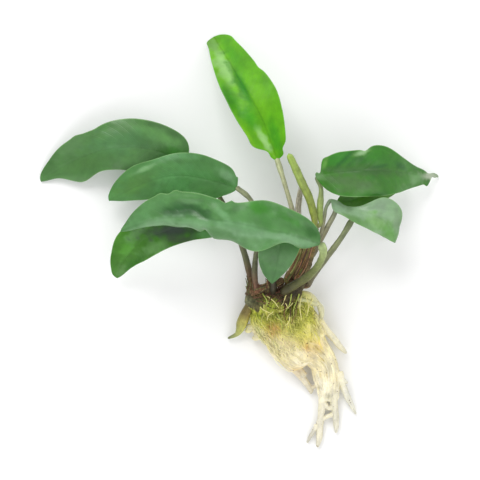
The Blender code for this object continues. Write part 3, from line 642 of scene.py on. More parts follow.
STEMS = (
    Stem("petiole_upright",
        [(27, -1, 21), (25.4, 4.5, 22.3), (24.1, 12.6, 23.5), (20.6, 24.8, 25.5), (17.1, 36, 26.8)],
        (1.3, 1.2, 1.1, 1.05, 1.15), "petiole",
        ((0, (150, 148, 118)), (0.6, (172, 168, 136)), (1, (186, 192, 148)))),
    Stem("petiole_far_left",
        [(5.8, -21.4, 10.8), (4, -12.4, 12.5), (1.7, -4, 13.5), (-2.2, 6, 13.5), (-7.3, 17, 12.5),
         (-14.5, 27.5, 11.3), (-24.3, 34.1, 11)],
        (1.7, 1.5, 1.35, 1.2, 1.1, 1, 1.15), "petiole",
        ((0, RED_BROWN), (0.22, (104, 78, 54)), (0.36, OLIVE), (0.55, (112, 114, 84)), (1, (112, 124, 80)))),
    Stem("petiole_left",
        [(7.6, -22.8, 14), (6.9, -16, 17), (7.2, -8, 19.5), (8.8, 2, 21), (8.2, 12, 21.3), (4.5, 19.2, 20.8),
         (-0.5, 23.5, 20.1)],
        (1.5, 1.35, 1.2, 1.15, 1.1, 1.05, 1.15), "petiole",
        ((0, RED_BROWN), (0.22, (108, 76, 54)), (0.36, OLIVE), (0.5, (104, 108, 80)), (1, (140, 146, 110)))),
    Stem("petiole_front",
        [(20.5, -22.6, 19.2), (24.5, -20, 23.5), (30.6, -15.9, 30), (35, -10.9, 37), (37.2, -5.4, 43),
         (36.5, -2.2, 46.3)],
        (2, 2, 1.8, 1.6, 1.7, 1.7), "petiole",
        ((0, (50, 42, 26)), (0.22, (68, 64, 34)), (0.42, (86, 88, 44)), (0.62, (110, 120, 62)),
         (0.85, (146, 162, 100)), (1, (162, 182, 122)))),
    Stem("petiole_front_left",
        [(15.5, -23, 16.8), (15.3, -19, 21.5), (14.2, -10, 28), (8, -1, 32.5), (-1, 3.6, 33.5),
         (-7, 4.8, 33.1)],
        (1.5, 1.35, 1.2, 1.15, 1.1, 1.15), "petiole",
        ((0, (40, 34, 22)), (0.3, (52, 48, 30)), (1, (106, 102, 72)))),
    Stem("petiole_hanging", [(28.6, 1.5, 25.2), (26, 5, 29), (23, 8.8, 32.2), (20.4, 11.2, 34.1)],
        (1.2, 1.1, 1.05, 1.1), "petiole", ((0, OLIVE), (1, GREY_GREEN))),
    Stem("petiole_right",
        [(36.6, 7.8, 22.2), (36.2, 12, 22.7), (36.4, 17, 23.5), (36.7, 23.5, 24.3), (35.2, 28, 24.6)],
        (1, 1.5, 1.5, 1, 1.1), "petiole",
        ((0, (130, 128, 80)), (0.35, (150, 172, 88)), (0.6, (148, 166, 96)), (1, (132, 142, 108)))),
    Stem("petiole_right_folded",
        [(36, 1.5, 19.7), (37.4, 5.6, 19.8), (38.4, 11, 19.8), (39.1, 15, 20), (40.6, 17.7, 20.6)],
        (0.9, 0.85, 0.8, 0.75, 0.8), "petiole", ((0, OLIVE), (0.5, STRAW), (1, (140, 160, 128)))),
    Stem("petiole_right_back",
        [(33.2, -6.5, 14.8), (37.4, 1.5, 15.8), (40.2, 7, 16.8), (43, 12.3, 17), (43.8, 15.9, 16.9)],
        (1.1, 1.2, 1.15, 1.1, 1.05), "petiole",
        ((0, (108, 92, 68)), (0.5, (146, 144, 112)), (1, (140, 146, 124)))),
    Stem("petiole_right_under",
        [(30.7, -20.2, 10.4), (33.3, -15.8, 12.4), (38.6, -8.7, 15), (46.1, 1.5, 16.8), (51.2, 9.9, 17.1)],
        (1.5, 1.5, 1.45, 1.3, 1.2), "petiole",
        ((0, (112, 76, 54)), (0.3, (112, 106, 76)), (1, (128, 140, 100)))),
    Stem("rolled_leaf",
        [(33.8, 6.8, 24.4), (33.6, 11, 25.4), (31.3, 19.2, 27.8), (28, 26, 30.2), (25, 32.6, 32.3),
         (22.6, 37.6, 33.6), (22.1, 38.8, 33.9)],
        (1.4, 1.6, 1.9, 1.9, 1.8, 1.5, 0.6), "young_stem",
        ((0, (110, 104, 56)), (0.3, (134, 146, 58)), (0.6, (148, 166, 84)), (1, (152, 182, 78)))),
    Stem("old_sheath",
        [(29.2, 4.6, 18.5), (27.1, 8.8, 18.6), (26.5, 14, 19.5), (27.1, 20, 21), (27.8, 25, 22)],
        (1.2, 1.2, 1.1, 0.9, 0.3), "bract", ((0, (222, 214, 188)), (1, (236, 234, 214)))),
    Stem("crown_sheath_upper",
        [(25.5, -16.5, 20.9), (28.2, -11, 22.4), (30.6, -4.2, 25.2), (31.6, -0.5, 26.8)],
        (0.8, 1.3, 1.2, 0.5), "bract", ((0, (112, 100, 48)), (0.5, (152, 118, 62)), (1, (164, 136, 84)))),
    Stem("crown_sheath_side",
        [(21.2, -18, 17.7), (24.2, -12.5, 19.6), (26.5, -6.5, 22.1), (27.4, -3.6, 23.2)],
        (0.8, 1.2, 1.1, 0.5), "bract", ((0, (104, 86, 46)), (0.5, (170, 134, 78)), (1, (184, 166, 100)))),
    Stem("side_shoot",
        [(4.4, -29.5, 7.8), (2.6, -33.8, 6.4), (1.1, -37.6, 5.2), (0.1, -40.6, 4), (-1.5, -42.9, 2.9),
         (-5.1, -44.6, 1.8)],
        (1.9, 2.4, 2.5, 1.9, 1.1, 0.5), "young_stem",
        ((0, (96, 84, 48)), (0.3, (128, 112, 54)), (0.42, (168, 160, 78)), (0.65, (172, 174, 88)),
         (1, (140, 150, 100)))),
)

STEM_SLOTS = {"petiole": "petiole", "young_stem": "young_stem", "bract": "old_sheath"}
ROOTED = 0.9  # how far towards the middle of the rhizome a stalk starts
INTO_BLADE = 0.8  # how far a stalk runs on into its blade
SHADED = {"petiole_front": 0.5, "petiole_upright": 0.14}  # how much painted shade darkens the right side of a stalk
STEM_SIDES = 20
COLLARS = ("petiole_far_left", "petiole_left", "petiole_right_under")  # stalks with scales at their foot
COLLAR_STRIPS = 8

# Colours of the torn strips: on the crown's sheaths, on its dark scales and on the pale old sheath.
STRIP_COLOURS = ((194, 138, 104), (144, 108, 72), (214, 192, 138), (98, 80, 56), (164, 164, 98),
                 (126, 132, 72))
STRIP_DARK = ((120, 80, 60), (92, 68, 48), (150, 134, 90), (108, 112, 66), (78, 68, 46))
STRIP_PALE = ((232, 226, 204), (212, 204, 178), (240, 234, 216), (192, 178, 152))
SHEATH_WIDTH = 1.6  # how much wider the strips on the crown's sheaths are


def rooted(points):
    """The points with one more before them, down in the rhizome, so that the base grows out of it."""
    points = np.array(points, float)
    line, _ = centreline(RHIZOME[0])
    nearest = line[np.linalg.norm(line - points[0], axis=1).argmin()]
    return np.concatenate([[points[0] * (1 - ROOTED) + nearest * ROOTED], points])


def extend(points, start, end):
    """The points with both ends moved on along the line by so many mm."""
    points = np.array(points, float)
    points[0] -= unit(points[1] - points[0]) * start
    points[-1] += unit(points[-1] - points[-2]) * end
    return points


def make_stem(stem, materials):
    node, seed = stem.node, hash_of(stem.node)
    is_stalk = stem.kind == "petiole"
    line, t = centreline(extend(rooted(stem.points), 0, INTO_BLADE if is_stalk else 0))
    radius = smooth((stem.radii[0], *stem.radii), t) * (1 + 0.05 * noise(line, 5, seed) + 0.25 * bell(t, 0.1))
    if is_stalk:
        radius = radius * (1 + 0.18 * bell(t - 0.93, 0.05))

    def shape(t, turn):
        channel = 0.14 if is_stalk else 0.05
        return 1 - channel * bell(wrapped(turn - pi / 2), 0.5) + 0.02 * np.sin(9 * turn)

    def tint(points, t, turn):
        top = wrapped(turn - pi / 2)
        # A painted highlight along one flank, painted shade along the other and a seam of painted shade in
        # the channel on top; SHADED adds more painted shade to the right side.
        lines = 0.24 * bell(top - 0.5, 0.4) - 0.22 * bell(top + 0.95, 0.55) - 0.14 * bell(top, 0.18)
        lines = lines - SHADED.get(node, 0) * bell(wrapped(turn), 1.1)
        return stops(t, *stem.colours) * (1 + 0.12 * noise(points, 3, seed + 3) + lines)[:, None]

    bundle = Bundle()
    tube(bundle, line, t, radius, STEM_SIDES, tint, shape)
    if node in COLLARS:
        foot = line[:len(line) // 4]
        add_strips(bundle, foot, radius, np.random.default_rng(seed + 9), STRIP_DARK, COLLAR_STRIPS)
    if node == "old_sheath":
        add_strips(bundle, line, radius, np.random.default_rng(seed), STRIP_PALE)
    elif stem.kind == "bract":
        add_strips(bundle, line, radius, np.random.default_rng(seed), STRIP_COLOURS, width=SHEATH_WIDTH)
    return bundle.piece(node + "_stem", node, STEM_SLOTS[stem.kind], materials[stem.kind])


def add_strips(bundle, line, radius, rng, colours, count=18, lowest=0.1, width=1.0):
    """Torn ribbons of an old sheath, lying along it. lowest is the least angle from its right side."""
    along = unit(np.gradient(line, axis=0))
    side = unit(np.cross(along, (0, 0, 1)))
    up = np.cross(side, along)
    for _ in range(count):
        first = rng.integers(0, len(line) // 2)
        last = min(first + rng.integers(len(line) // 4, len(line)), len(line))
        part = slice(first, max(last, first + 6))
        place = np.linspace(0, 1, len(line[part]))
        turn = rng.uniform(lowest, pi - 0.1) + rng.normal(0, 0.5) * place
        far = radius[part] * rng.uniform(0.85, 1.25) + 0.5 * place ** 3
        path = line[part] + side[part] * (far * np.cos(turn))[:, None]
        path = path + up[part] * (far * np.sin(turn))[:, None]
        colour = rgb(colours[rng.integers(len(colours))]) * rng.uniform(0.8, 1.2)
        size = width * rng.uniform(0.14, 0.34)
        tube(bundle, path, place, size * (1 - 0.6 * place), 6, even(colour))


# The rhizome's path and radii, with fine steps for its scars and knobs.
RHIZOME = ([(3.8, -25.5, 9), (8, -27, 10.5), (13, -28, 11.5), (19, -26, 12.5), (24.5, -21.5, 13.5),
            (28.5, -13, 16), (31, -4, 20), (33.5, 5.8, 23.2)], (3.2, 4.6, 5.4, 5.2, 4.3, 3.6, 3.2, 2.3))
BARK_STEP = 0.4
BARK_SIDES = 72
BARK = (96, 88, 50)
SCARS = 21
KNOBS = 40

# Spots of colour on the rhizome: x, y, reach, colour, strength.
RHIZOME_PATCHES = (
    (3, -27, 3.4, (120, 122, 90), 0.9), (6.8, -26.5, 2.6, (64, 72, 44), 0.9),
    (8, -22.5, 3, (128, 84, 62), 0.9), (13.5, -28, 3.6, (140, 148, 52), 0.95),
    (9, -30, 2.4, (88, 82, 48), 0.8), (22, -29, 3.2, (84, 70, 42), 0.9), (20, -23, 4.5, (70, 62, 44), 0.95),
    (26, -22, 3.5, (54, 44, 30), 0.9), (27, -12, 5, (92, 70, 44), 0.8), (31, -2, 6, (140, 114, 64), 0.8),
)

SCALY = (0.12, 0.8)  # the stretch of the rhizome that torn scales lie on
SCALES = 26
SCALES_FROM = 1.5  # radians from its right side to the nearest scale
BASE_STRIPS = 12

# Withered leaf bases between the stalks: path and radius.
OLD_BASES = (
    ([(5.5, -23.5, 13), (10.5, -21.4, 15.2), (15.5, -19.8, 16.8), (19.5, -17.6, 18)], 2.0),
    ([(12, -25, 14), (13, -21.5, 16.5), (13.4, -18.6, 18.2), (13.2, -16.4, 19.2)], 1.3),
    ([(4.2, -24.5, 11), (5.2, -20.5, 13.2), (5, -17, 14.6)], 1.5),
    ([(24, -21, 15), (26, -17, 18.6), (28, -12.5, 21), (29.4, -8.5, 22.6)], 1.4),
)


def make_rhizome(material):
    line, t = centreline(RHIZOME[0], BARK_STEP)
    rng = np.random.default_rng(11)
    radius = smooth(RHIZOME[1], t)
    for place in (np.arange(SCARS) + rng.uniform(-0.25, 0.25, SCARS)) / SCARS:
        radius = radius * (1 + 0.055 * bell(t - place, 0.006) - 0.04 * bell(t - place - 0.014, 0.008))
    lows, highs = (0, 0, 0.008, 0.08), (1, 2 * pi, 0.02, 0.2)
    knobs = [[rng.uniform(low, high) for low, high in zip(lows, highs)] for _ in range(KNOBS)]

    def shape(t, turn):
        scale = 1 + 0.03 * np.sin(3 * turn + 9 * t)
        for place, angle, reach, height in knobs:
            scale = scale + height * bell(t - place, reach) * bell(wrapped(turn - angle), reach * 18)
        return scale

    def tint(points, t, turn):
        colour = spotted(np.ones((len(points), 3)) * rgb(BARK), points, RHIZOME_PATCHES)
        return colour * (1 + 0.25 * noise(points, 3, 5))[:, None]

    bundle = Bundle()
    tube(bundle, line, t, radius, BARK_SIDES, tint, shape)
    scaly = slice(int(SCALY[0] * len(line)), int(SCALY[1] * len(line)))
    add_strips(bundle, line[scaly], radius[scaly], rng, STRIP_DARK, SCALES, SCALES_FROM)
    for path, size in OLD_BASES:
        base, place = centreline(path, BARK_STEP)
        thick = size * (1 + 0.12 * noise(base, 3, 19)) * (1 - 0.35 * place ** 3)
        tube(bundle, base, place, thick, 24, lambda p, a, b: tint(p, a, b) * 0.55 + rgb(RED_BROWN) * 0.6)
        add_strips(bundle, base, thick, rng, STRIP_DARK, BASE_STRIPS)
    return bundle.piece("rhizome_bark", "rhizome", "rhizome", material)


# ------------------------ roots

# The root mat's axis as (x, y, half-width, height), as the CAD has it.
MAT = (
    (19, -23.5, 9, 6), (18.8, -31.2, 14, 12), (22, -37.6, 13.4, 14.5), (26.3, -43.9, 12.9, 14),
    (31, -50.3, 11.6, 12.5), (37.4, -55.5, 7.2, 11), (39.9, -62.6, 6, 9.5), (40.8, -68.5, 5.2, 8),
    (40.7, -73.4, 4.5, 6),
)
MAT_FOOT = -0.8
MAT_GRID = (190, 150)  # rows along the mat and points round it
FLOOR_GAP = 0.02  # nothing of the mat comes nearer to the floor
SLOT = (0.515, 0.75)  # the stretch of the mat where a root stands clear of its left side
SLOT_DEPTH = 0.5
STRANDS = 260
STRAND_POINTS = 30
FELT = 0.5  # thickness of the root felt that climbs onto the rhizome
BLEND = 1.3  # how softly the felt runs from the mat up onto the rhizome
NOWHERE = -9.0
# The line, as x and y, where the felt ends.
FELT_EDGE = ((3, -36), (8, -34), (10.5, -29), (12.5, -25.5), (16, -25), (18.5, -29.5), (22, -31),
             (24.5, -30.5), (27, -24), (33, -22))

CREAM = (245, 233, 190)
WHITE = (240, 233, 204)
# Painted shade in the hollows between the fibres near the crown.
HOLLOW_SHADE = (92, 82, 38)
ROOT_END = (196, 192, 172)

# Colours from the rhizome to the tips.
ROOT_STOPS = ((0, (178, 182, 68)), (0.12, (210, 212, 92)), (0.24, (230, 223, 118)), (0.34, (240, 229, 160)),
              (0.5, CREAM), (0.75, WHITE), (1, WHITE))
# Lines beyond which the roots turn pale: a point on the line, the way across in degrees, reach, strength.
PALE_SIDES = ((26, -26.5, 40, 6, 0.36), (5, -36, 240, 5, 0.3), (35, -40, 8, 4, 0.3))
PALE_MOST = 0.47
CROWN_SHADE = 0.36  # how much darker the felt is where it climbs onto the rhizome
STREAK = (2.6, 0.7, 1.5)  # how much faster the streaks change across the roots than along them

# Spots of colour on the roots: x, y, reach, colour, strength.
ROOT_PATCHES = (
    (17.5, -29.3, 2.2, (84, 80, 32), 0.7), (11, -28.6, 1.8, (84, 86, 36), 0.65),
    (14.5, -26.5, 2, (78, 72, 32), 0.7), (26.5, -27, 1.8, (104, 92, 44), 0.6),
    (15.5, -40, 3.6, (220, 164, 100), 0.85), (21, -49, 5, (250, 240, 206), 0.6),
    (29, -45, 3.5, (244, 226, 140), 0.6), (36, -48, 2.6, (228, 190, 124), 0.5),
    (30.5, -49, 1.6, (226, 178, 104), 0.6), (33.5, -58, 3, (238, 220, 160), 0.5),
    (14, -30, 4, (142, 160, 36), 0.8), (9.5, -33, 3, (170, 176, 60), 0.7),
    (22.5, -31, 3.2, (96, 82, 40), 0.85), (27, -39, 4.5, (204, 208, 74), 0.6),
    (17, -34, 2.4, (104, 92, 44), 0.6), (25, -33.5, 2.2, (88, 84, 36), 0.6),
    (33, -52, 3, (214, 188, 128), 0.5), (27, -60, 3, (222, 184, 120), 0.55),
    (21, -47, 4, (238, 222, 170), 0.5), (41, -71, 1.6, (150, 148, 126), 0.6),
    (25, -38, 2, (120, 116, 48), 0.5),
)

# Thick roots that leave the mat: node, path and radii.
ROOTS = (
    ("root_loop",
     [(27.5, -24.2, 9.5), (31.6, -25, 8.8), (34.7, -27.7, 8.5), (36.8, -30.2, 8.2), (37.5, -33, 7.8),
      (37, -35.4, 7.2), (34.9, -36.8, 7.2), (32, -37.2, 7.5)], (1.3, 1.6, 1.5, 1.35, 1.35, 1.3, 1.4, 1.5)),
    ("root_right", [(40.2, -41.2, 6.4), (42.9, -44.4, 5.6), (45.7, -47.9, 4.6), (48.8, -51.3, 3)],
     (1.5, 1.6, 1.4, 0.6)),
    ("root_low_right", [(47.4, -65.8, 4.5), (48.8, -69.9, 3.5), (51.3, -75, 2.3), (53.3, -79.3, 1.5)],
     (1.4, 1.4, 1.2, 0.5)),
    ("root_tip_right", [(43.4, -75, 3.5), (44.1, -79.7, 2.8), (44.3, -84.4, 2.1), (44.4, -87.8, 1.2)],
     (1.7, 1.5, 1.3, 0.6)),
    ("root_tip", [(38, -75, 3.2), (37.5, -79, 2.6), (36.9, -83.5, 2.2), (36.7, -89, 1.9), (35.9, -94.3, 1.2)],
     (1.6, 1.5, 1.6, 1.6, 0.7)),
    ("root_tip_fork", [(34, -87.2, 1.9), (32.6, -89.6, 1.4), (31.2, -92.4, 0.9)], (0.9, 0.85, 0.5)),
    ("root_left",
     [(14, -43.5, 6.5), (17.8, -50.3, 6.2), (21.9, -54.9, 5.8), (25.4, -58.4, 5.2), (28.6, -62.2, 4.3),
      (31.2, -65.8, 3.4), (32.6, -68.2, 2.4), (32.7, -69.9, 1.5)], (2.6, 3.1, 2.9, 2.4, 1.75, 1.4, 1.3, 0.5)),
    ("root_short_upper", [(5.9, -39.2, 5.4), (4.5, -40.5, 4.6), (3, -41.4, 3.5)], (1.7, 1.5, 0.7)),
    ("root_short_lower", [(9, -43.4, 4.8), (7.6, -44.3, 4), (6.2, -44.6, 3)], (1.5, 1.4, 0.8)),
)
ROOT_SIDES = 20
ROOT_RIDGES = 9
# How far each root starts back inside the mat, and the same for the roots that aren't listed.
ROOT_INTO = {"root_loop": 0, "root_left": 0, "root_short_upper": 3, "root_short_lower": 3, "root_tip_fork": 3}
INTO_MAT = 6

# The colour that each root has of its own.
ROOT_TONES = {
    "root_loop": (216, 217, 176), "root_right": (216, 213, 190), "root_low_right": (216, 216, 202),
    "root_tip_right": (218, 215, 194), "root_tip": (218, 213, 190), "root_tip_fork": (208, 206, 192),
    "root_left": (212, 202, 176), "root_short_upper": (206, 200, 142), "root_short_lower": (216, 209, 166),
}

# Short bridges and webs between roots: the root they belong to, their path and their radius.
ROOT_LINKS = (
    ("root_tip", [(37.4, -82, 2.2), (40, -80.6, 2.4), (44, -79, 2.6)], 1.4),
    ("root_tip", [(38.6, -74, 4), (40.8, -76.6, 3.2), (43, -75.6, 3.6)], 1.5),
    ("root_left", [(32, -67.6, 2.8), (34.2, -66.8, 3.2), (36.4, -65.4, 4)], 1.2),
    ("root_left", [(17, -47, 7), (22, -51, 7), (26, -54.5, 6.4)], 2.6),
    ("root_left", [(23.5, -52, 6.6), (26.6, -57.2, 5.8), (29.4, -61.6, 4.8)], 1.9),
    ("root_short_upper", [(10.5, -35.5, 8), (7.4, -37.8, 6.4), (5, -39.8, 4.8)], 2.1),
    ("root_short_lower", [(12.5, -39.5, 8), (9.6, -41.2, 6), (8.2, -43.2, 4.6)], 2.1),
    ("root_short_lower", [(6, -40, 5), (8.2, -42.2, 5), (11.5, -44.2, 5)], 1.5),
    ("root_low_right", [(44.6, -62, 6.2), (47.6, -63, 5.8), (49, -65, 5.2)], 0.8),
    ("root_loop", [(25.5, -26.6, 12), (30, -27.2, 10), (34.8, -28.6, 8.6)], 1.5),
    ("root_loop", [(26, -29.2, 12.6), (29, -29.4, 10.8), (32.4, -30, 8.8)], 1.4),
    ("root_loop", [(28, -33.6, 11), (31.5, -35, 9), (35.6, -35.8, 7.6)], 1.5),
)

HAIRS = 850
HAIR_COLOURS = ((140, 156, 52), (196, 198, 84), (110, 124, 40), (236, 230, 150), (168, 188, 56))
STRAW_PALE = (222, 214, 140)
STRAW_GREEN = (170, 184, 90)
STRAW_BROWN = (78, 60, 36)
STRAW_LOWEST = 14.2  # height that straws lie on where the rhizome is lower

# Thin dead leaf fibres lying across the crown: x and y of both ends, radius, colour.
STRAWS = (
    (11, -23.5, 12.5, -29.5, 0.35, STRAW_GREEN), (12, -24.5, 18.5, -30.5, 0.3, STRAW_PALE),
    (22.5, -23, 18.5, -29.5, 0.3, STRAW_PALE), (24, -24, 20.5, -33, 0.32, STRAW_GREEN),
    (23.5, -33, 21, -38.5, 0.34, STRAW_PALE), (20, -28, 23.5, -31, 0.26, STRAW_PALE),
    (15, -32, 12, -36, 0.28, STRAW_PALE), (26.5, -24, 24.5, -34, 0.34, STRAW_GREEN),
    (9.5, -30, 15, -33.5, 0.26, STRAW_PALE), (17.5, -33, 19.5, -40, 0.26, STRAW_GREEN),
    (25.5, -31, 24, -38, 0.4, (132, 120, 64)), (21, -29, 20.5, -36, 0.35, (120, 92, 54)),
    (28, -25, 27.5, -36, 0.36, STRAW_PALE), (24.5, -28, 19, -32, 0.24, STRAW_PALE),
    (21, -25, 20.5, -31, 0.45, STRAW_BROWN), (23.5, -29, 22, -36, 0.42, STRAW_BROWN),
    (15.5, -25, 13, -27.5, 0.4, STRAW_BROWN), (25.5, -26, 26.5, -31.5, 0.35, STRAW_BROWN),
    (17, -24.5, 18.5, -28, 0.35, STRAW_BROWN), (30.5, -25, 31, -34, 0.3, STRAW_PALE),
    (32.5, -26, 31.5, -32, 0.26, STRAW_PALE),
)


def mat_point(t, turn, out=0.0):
    """A point on the root mat's skin, moved out by so many mm; turn 0 is its right and pi / 2 its top."""
    t, turn = np.broadcast_arrays(t, turn)
    x, y, half, top = np.moveaxis(smooth(MAT, t), -1, 0)
    ahead = smooth(MAT, np.minimum(t + 0.02, 1)) - smooth(MAT, np.maximum(t - 0.02, 0))
    across = unit(np.stack([-ahead[..., 1], ahead[..., 0], np.zeros_like(x)], -1))
    middle = np.stack([x, y, (top + MAT_FOOT) / 2], -1)
    high = (top - MAT_FOOT) / 2 + out
    slot = SLOT_DEPTH * rise(t, SLOT[0], 0.035) * rise(t, SLOT[1], -0.2) ** 1.6
    half = half * np.where(np.cos(turn) < 0, 1 - slot, 1)
    points = middle + across * ((half + out) * np.cos(turn))[..., None]
    points[..., 2] += high * np.sin(turn)
    points[..., 2] = np.maximum(points[..., 2], FLOOR_GAP)
    return points


def rhizome_top(plan):
    """Height of the rhizome's upper side over points seen from above, or far down where there is none."""
    line, t = centreline(RHIZOME[0], 0.5)
    radius = smooth(RHIZOME[1], t)
    far = np.hypot(plan[:, None, 0] - line[:, 0], plan[:, None, 1] - line[:, 1])
    high = line[:, 2] + np.sqrt(np.maximum(radius ** 2 - far ** 2, 0))
    return np.where(far < radius, high, NOWHERE).max(axis=1)


def drape(points):
    """The points of the mat's upper side, raised over the rhizome like a cloth over a bar."""
    flat = points.reshape(-1, 3).copy()
    edge = np.interp(flat[:, 0], *zip(*FELT_EDGE))
    bar = rhizome_top(flat[:, :2]) + FELT * np.clip((edge - flat[:, 1]) / 1.5, -2, 1)
    raised = np.logaddexp(flat[:, 2] / BLEND, bar / BLEND) * BLEND
    flat[:, 2] += (raised - flat[:, 2]) * rise(flat[:, 2], 2, 3)
    return flat.reshape(points.shape)


def root_tint(points, seed, paleness=0.0):
    """Root colours by place: moss and yellow near the rhizome, cream and white towards the tips."""
    drift = noise(points, 8, 21, 2)
    down = (-points[:, 1] - 25 + 3.5 * drift) / 60 + paleness
    for x, y, turn, reach, strength in PALE_SIDES:
        c, s = np.cos(radians(turn)), np.sin(radians(turn))
        over = (points[:, 0] - x) * c + (points[:, 1] - y) * s + drift
        down = np.maximum(down, np.minimum(down + strength * rise(over, 0, reach), PALE_MOST))
    colour = stops(np.clip(down, 0, 1), *ROOT_STOPS)
    streak = noise(points * STREAK, 5, 61, 2)
    crown = CROWN_SHADE * rise(points[:, 1], -31, 5) * rise(points[:, 0], 29, -3)
    colour = colour * (1 + 0.1 * streak - crown * (1 + 0.6 * drift))[:, None]
    colour = spotted(colour, points, ROOT_PATCHES, 1 + 0.25 * drift)
    return colour * (1 + 0.07 * noise(points, 6, seed, 2))[:, None]


def shade_under_moss(colours, points, strength=0.75):
    """The colours with painted brown shade in the hollows between the fibres near the crown."""
    hollow = np.clip(0.45 + noise(points, 2.2, 55, 2), 0, 1) * rise(points[:, 1], -41, 9) * strength
    return mixed(colours, rgb(HOLLOW_SHADE), hollow)


def make_mat(material):
    """The mat's body: a felted skin that climbs onto the rhizome, with strands running down over it."""
    rows, sides = MAT_GRID
    round_mat = 2 * pi * np.arange(sides) / sides
    t, turn = np.meshgrid(np.linspace(0, 1, rows), round_mat, indexing="ij")
    stretched = np.stack([t * 22, np.cos(turn) * 12, np.sin(turn) * 12], -1)
    out = 0.3 * noise(stretched, 2.6, 31) + 0.25 * noise(stretched, 9, 33) - 0.3
    skin = drape(mat_point(t, turn, out))
    bundle = Bundle()
    bundle.add(skin, round_mat, (skin[0].mean(0), skin[-1].mean(0)),
               lambda points: shade_under_moss(root_tint(points, 3, 0.02), points))
    rng = np.random.default_rng(23)
    for number in range(STRANDS):
        start = rng.uniform(0.02, 0.66)
        end = min(start + rng.uniform(0.14, 0.42), 1.0)
        steps = np.linspace(start, end, STRAND_POINTS)
        angle = rng.uniform(-0.3, pi + 0.3) + rng.normal(0, 0.3) * (steps - start) / 0.3
        angle = angle + 0.1 * np.sin(steps * rng.uniform(10, 30) + rng.uniform(0, 6))
        size = rng.uniform(0.22, 0.7)
        out = -size * rng.uniform(0.6, 1.0) + 0.12 * np.sin(steps * 19 + number)
        place = np.linspace(0, 1, STRAND_POINTS)
        out = out - size * 1.4 * (bell(place, 0.12) + bell(place - 1, 0.12))
        line = drape(mat_point(steps, angle, out))
        radius = size * (1 - 0.45 * place ** 2) * (1 + 0.08 * np.sin(place * 25 + number))
        pale, glow = rng.normal(0.02, 0.07), rng.uniform(0.86, 1.1)

        def strand_tint(points, t, turn):
            return shade_under_moss(root_tint(points, number % 7, pale) * glow, points, 0.5)

        tube(bundle, line, place, radius, 8, strand_tint)
    return bundle.piece("root_mat_strands", "root_mat", "root_mat", material)


def make_root(node, points, radii, material):
    line, t = centreline(extend(points, ROOT_INTO.get(node, INTO_MAT), 0))
    lumps = 0.1 if node == "root_loop" else 0.06
    radius = smooth(radii, t) * (1 + lumps * noise(line, 3.5, hash_of(node), 2)) * (1 + 0.35 * bell(t, 0.15))
    bundle = Bundle()

    def tint(points, t, turn):
        own = rgb(ROOT_TONES[node]) * (1 + 0.07 * noise(points, 4, 9, 2))[:, None]
        colour = mixed(root_tint(points, 9, 0.06), own, 0.7 * np.clip(0.3 + 2.2 * t, 0, 1))
        return mixed(colour, rgb(ROOT_END), 0.5 * rise(t, 0.78, 0.22))

    tube(bundle, line, t, radius, ROOT_SIDES, tint, lambda t, turn: 1 + 0.05 * np.sin(3 * turn + 14 * t))
    for owner, path, size in ROOT_LINKS:
        if owner == node:
            link, place = centreline(path, 0.35)
            tube(bundle, link, place, size * (1 - 0.3 * np.sin(pi * place)), 12, tint)
    rng = np.random.default_rng(hash_of(node))
    for _ in range(ROOT_RIDGES):
        first = rng.integers(0, len(line) // 2)
        part = slice(first, min(first + rng.integers(len(line) // 3, len(line)), len(line)))
        place = np.linspace(0, 1, len(line[part]))
        turn = rng.uniform(0, pi)
        path = line[part] + np.array((np.cos(turn), 0, np.sin(turn))) * (radius[part] * 0.86)[:, None]
        tube(bundle, path, place, rng.uniform(0.15, 0.35) * (1 - 0.6 * place), 6, tint)
    return bundle.piece(node + "_root", node, "root", material)


def make_fibres(material):
    """Fine root hairs and moss from the rhizome's front down over the mat, and a few crossing straws."""
    rng = np.random.default_rng(41)
    bundle = Bundle()
    for _ in range(HAIRS):
        start = 0.02 + 0.4 * rng.uniform(0, 1) ** 1.4
        span = rng.uniform(0.03, 0.15)
        place = np.linspace(0, 1, 11)
        steps = np.clip(start + span * place, 0, 1)
        turn = rng.uniform(0.15, pi - 0.15) + rng.normal(0, 0.16) * place
        turn = turn + 0.05 * np.sin(place * 6 + start * 90)
        out = rng.uniform(-0.1, 0.25) + rng.uniform(0.1, 0.8) * np.sin(pi * place)
        line = mat_point(steps, turn, out)
        line[:, :2] += rng.normal(0, 0.6, 2)
        line = drape(line)
        size = rng.uniform(0.1, 0.26)
        own = rgb(HAIR_COLOURS[rng.integers(len(HAIR_COLOURS))])
        own_share = np.clip(0.75 - start * 1.5, 0.1, 0.6)
        shade = rng.uniform(0.8, 1.25)

        def hair_tint(points, t, turn):
            return (own * own_share + root_tint(points, 5, 0.02) * (1 - own_share)) * shade

        tube(bundle, line, place, size * (1 - 0.7 * place), 5, hair_tint)
    for x0, y0, x1, y1, size, colour in STRAWS:
        place = np.linspace(0, 1, 14)
        plan = np.stack([x0 + (x1 - x0) * place, y0 + (y1 - y0) * place], -1)
        plan[:, 0] += 0.5 * np.sin(place * 5 + x0)
        high = np.maximum(rhizome_top(plan), STRAW_LOWEST) + 0.7 + 0.9 * np.sin(pi * place)
        line = np.concatenate([plan, high[:, None]], 1)
        tube(bundle, line, place, size * (1 - 0.5 * place), 7, even(rgb(colour)))
    return bundle.piece("root_hairs", "root_mat", "root_mat", material)


# ------------------------ scene

# In metres from here on.
CAMERA = (0.000225, 0.00045, 1.2)  # looks straight down
LENS = 195.8
FLOOR = 3.0
FLOOR_GREY = 0.9
SKY = 0.72  # strength of the white light from all round
LIGHTS_AIM = (0, 0, 0.02)
# Soft lights: name, place, size and power.
LIGHTS = (
    ("key", (-0.35, 0.9, 0.85), 0.7, 9.0),
    ("fill", (0.8, -0.5, 1.0), 0.9, 3.5),
    ("front", (-0.2, -1.0, 0.7), 0.9, 4.0),
)


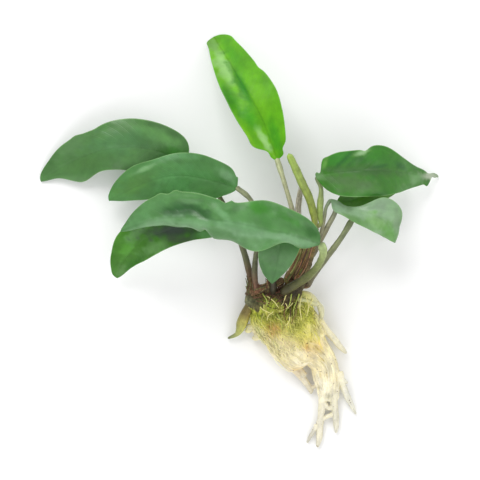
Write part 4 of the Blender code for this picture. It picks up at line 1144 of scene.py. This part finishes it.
def make_floor():
    bpy.ops.mesh.primitive_grid_add(x_subdivisions=4, y_subdivisions=4, size=FLOOR)
    floor = bpy.context.object
    floor.name = "floor"
    material = bpy.data.materials.new("floor_white")
    material.use_nodes = True
    shader = material.node_tree.nodes["Principled BSDF"]
    shader.inputs["Base Color"].default_value = (FLOOR_GREY, FLOOR_GREY, FLOOR_GREY, 1)
    shader.inputs["Roughness"].default_value = 0.9
    shader.inputs["Specular IOR Level"].default_value = 0.1
    floor.data.materials.append(material)


def area_light(name, place, size, power):
    data = bpy.data.lights.new(name, "AREA")
    data.size = size
    data.energy = power
    light = bpy.data.objects.new(name, data)
    light.location = place
    direction = Vector(np.subtract(LIGHTS_AIM, place))
    light.rotation_euler = direction.to_track_quat("-Z", "Y").to_euler()
    bpy.context.scene.collection.objects.link(light)


def make_stage():
    make_floor()
    world = bpy.data.worlds.new("studio")
    world.use_nodes = True
    background = world.node_tree.nodes["Background"]
    background.inputs["Color"].default_value = (1, 1, 1, 1)
    background.inputs["Strength"].default_value = SKY
    bpy.context.scene.world = world
    for light in LIGHTS:
        area_light(*light)
    camera = bpy.data.objects.new("camera", bpy.data.cameras.new("camera"))
    camera.data.lens = LENS
    camera.location = CAMERA
    bpy.context.scene.collection.objects.link(camera)
    bpy.context.scene.camera = camera
    bpy.context.scene.view_settings.view_transform = "Standard"


def main():
    leaves = {
        "young": leaf_material("young_leaf_skin", 0.44, 0.1, 0.02, 0.25),
        "mature": leaf_material("leaf_skin", 0.38, 0.06, 0.12),
        "pale": leaf_material("pale_leaf_skin", 0.34, 0.06, 0.15),
    }
    stalks = {
        "petiole": stalk_material("stalk_skin", 0.5),
        "young_stem": stalk_material("shoot_skin", 0.42),
        "bract": stalk_material("sheath_skin", 0.7),
    }
    root_skin = root_material("root_skin", 0.62, 0.14)
    for blade in BLADES:
        make_blade(blade, leaves)
    for stem in STEMS:
        make_stem(stem, stalks)
    make_rhizome(rhizome_material())
    make_mat(root_skin)
    for node, points, radii in ROOTS:
        make_root(node, points, radii, root_skin)
    make_fibres(root_material("hair_skin", 0.7, 0.1))
    make_stage()


main()
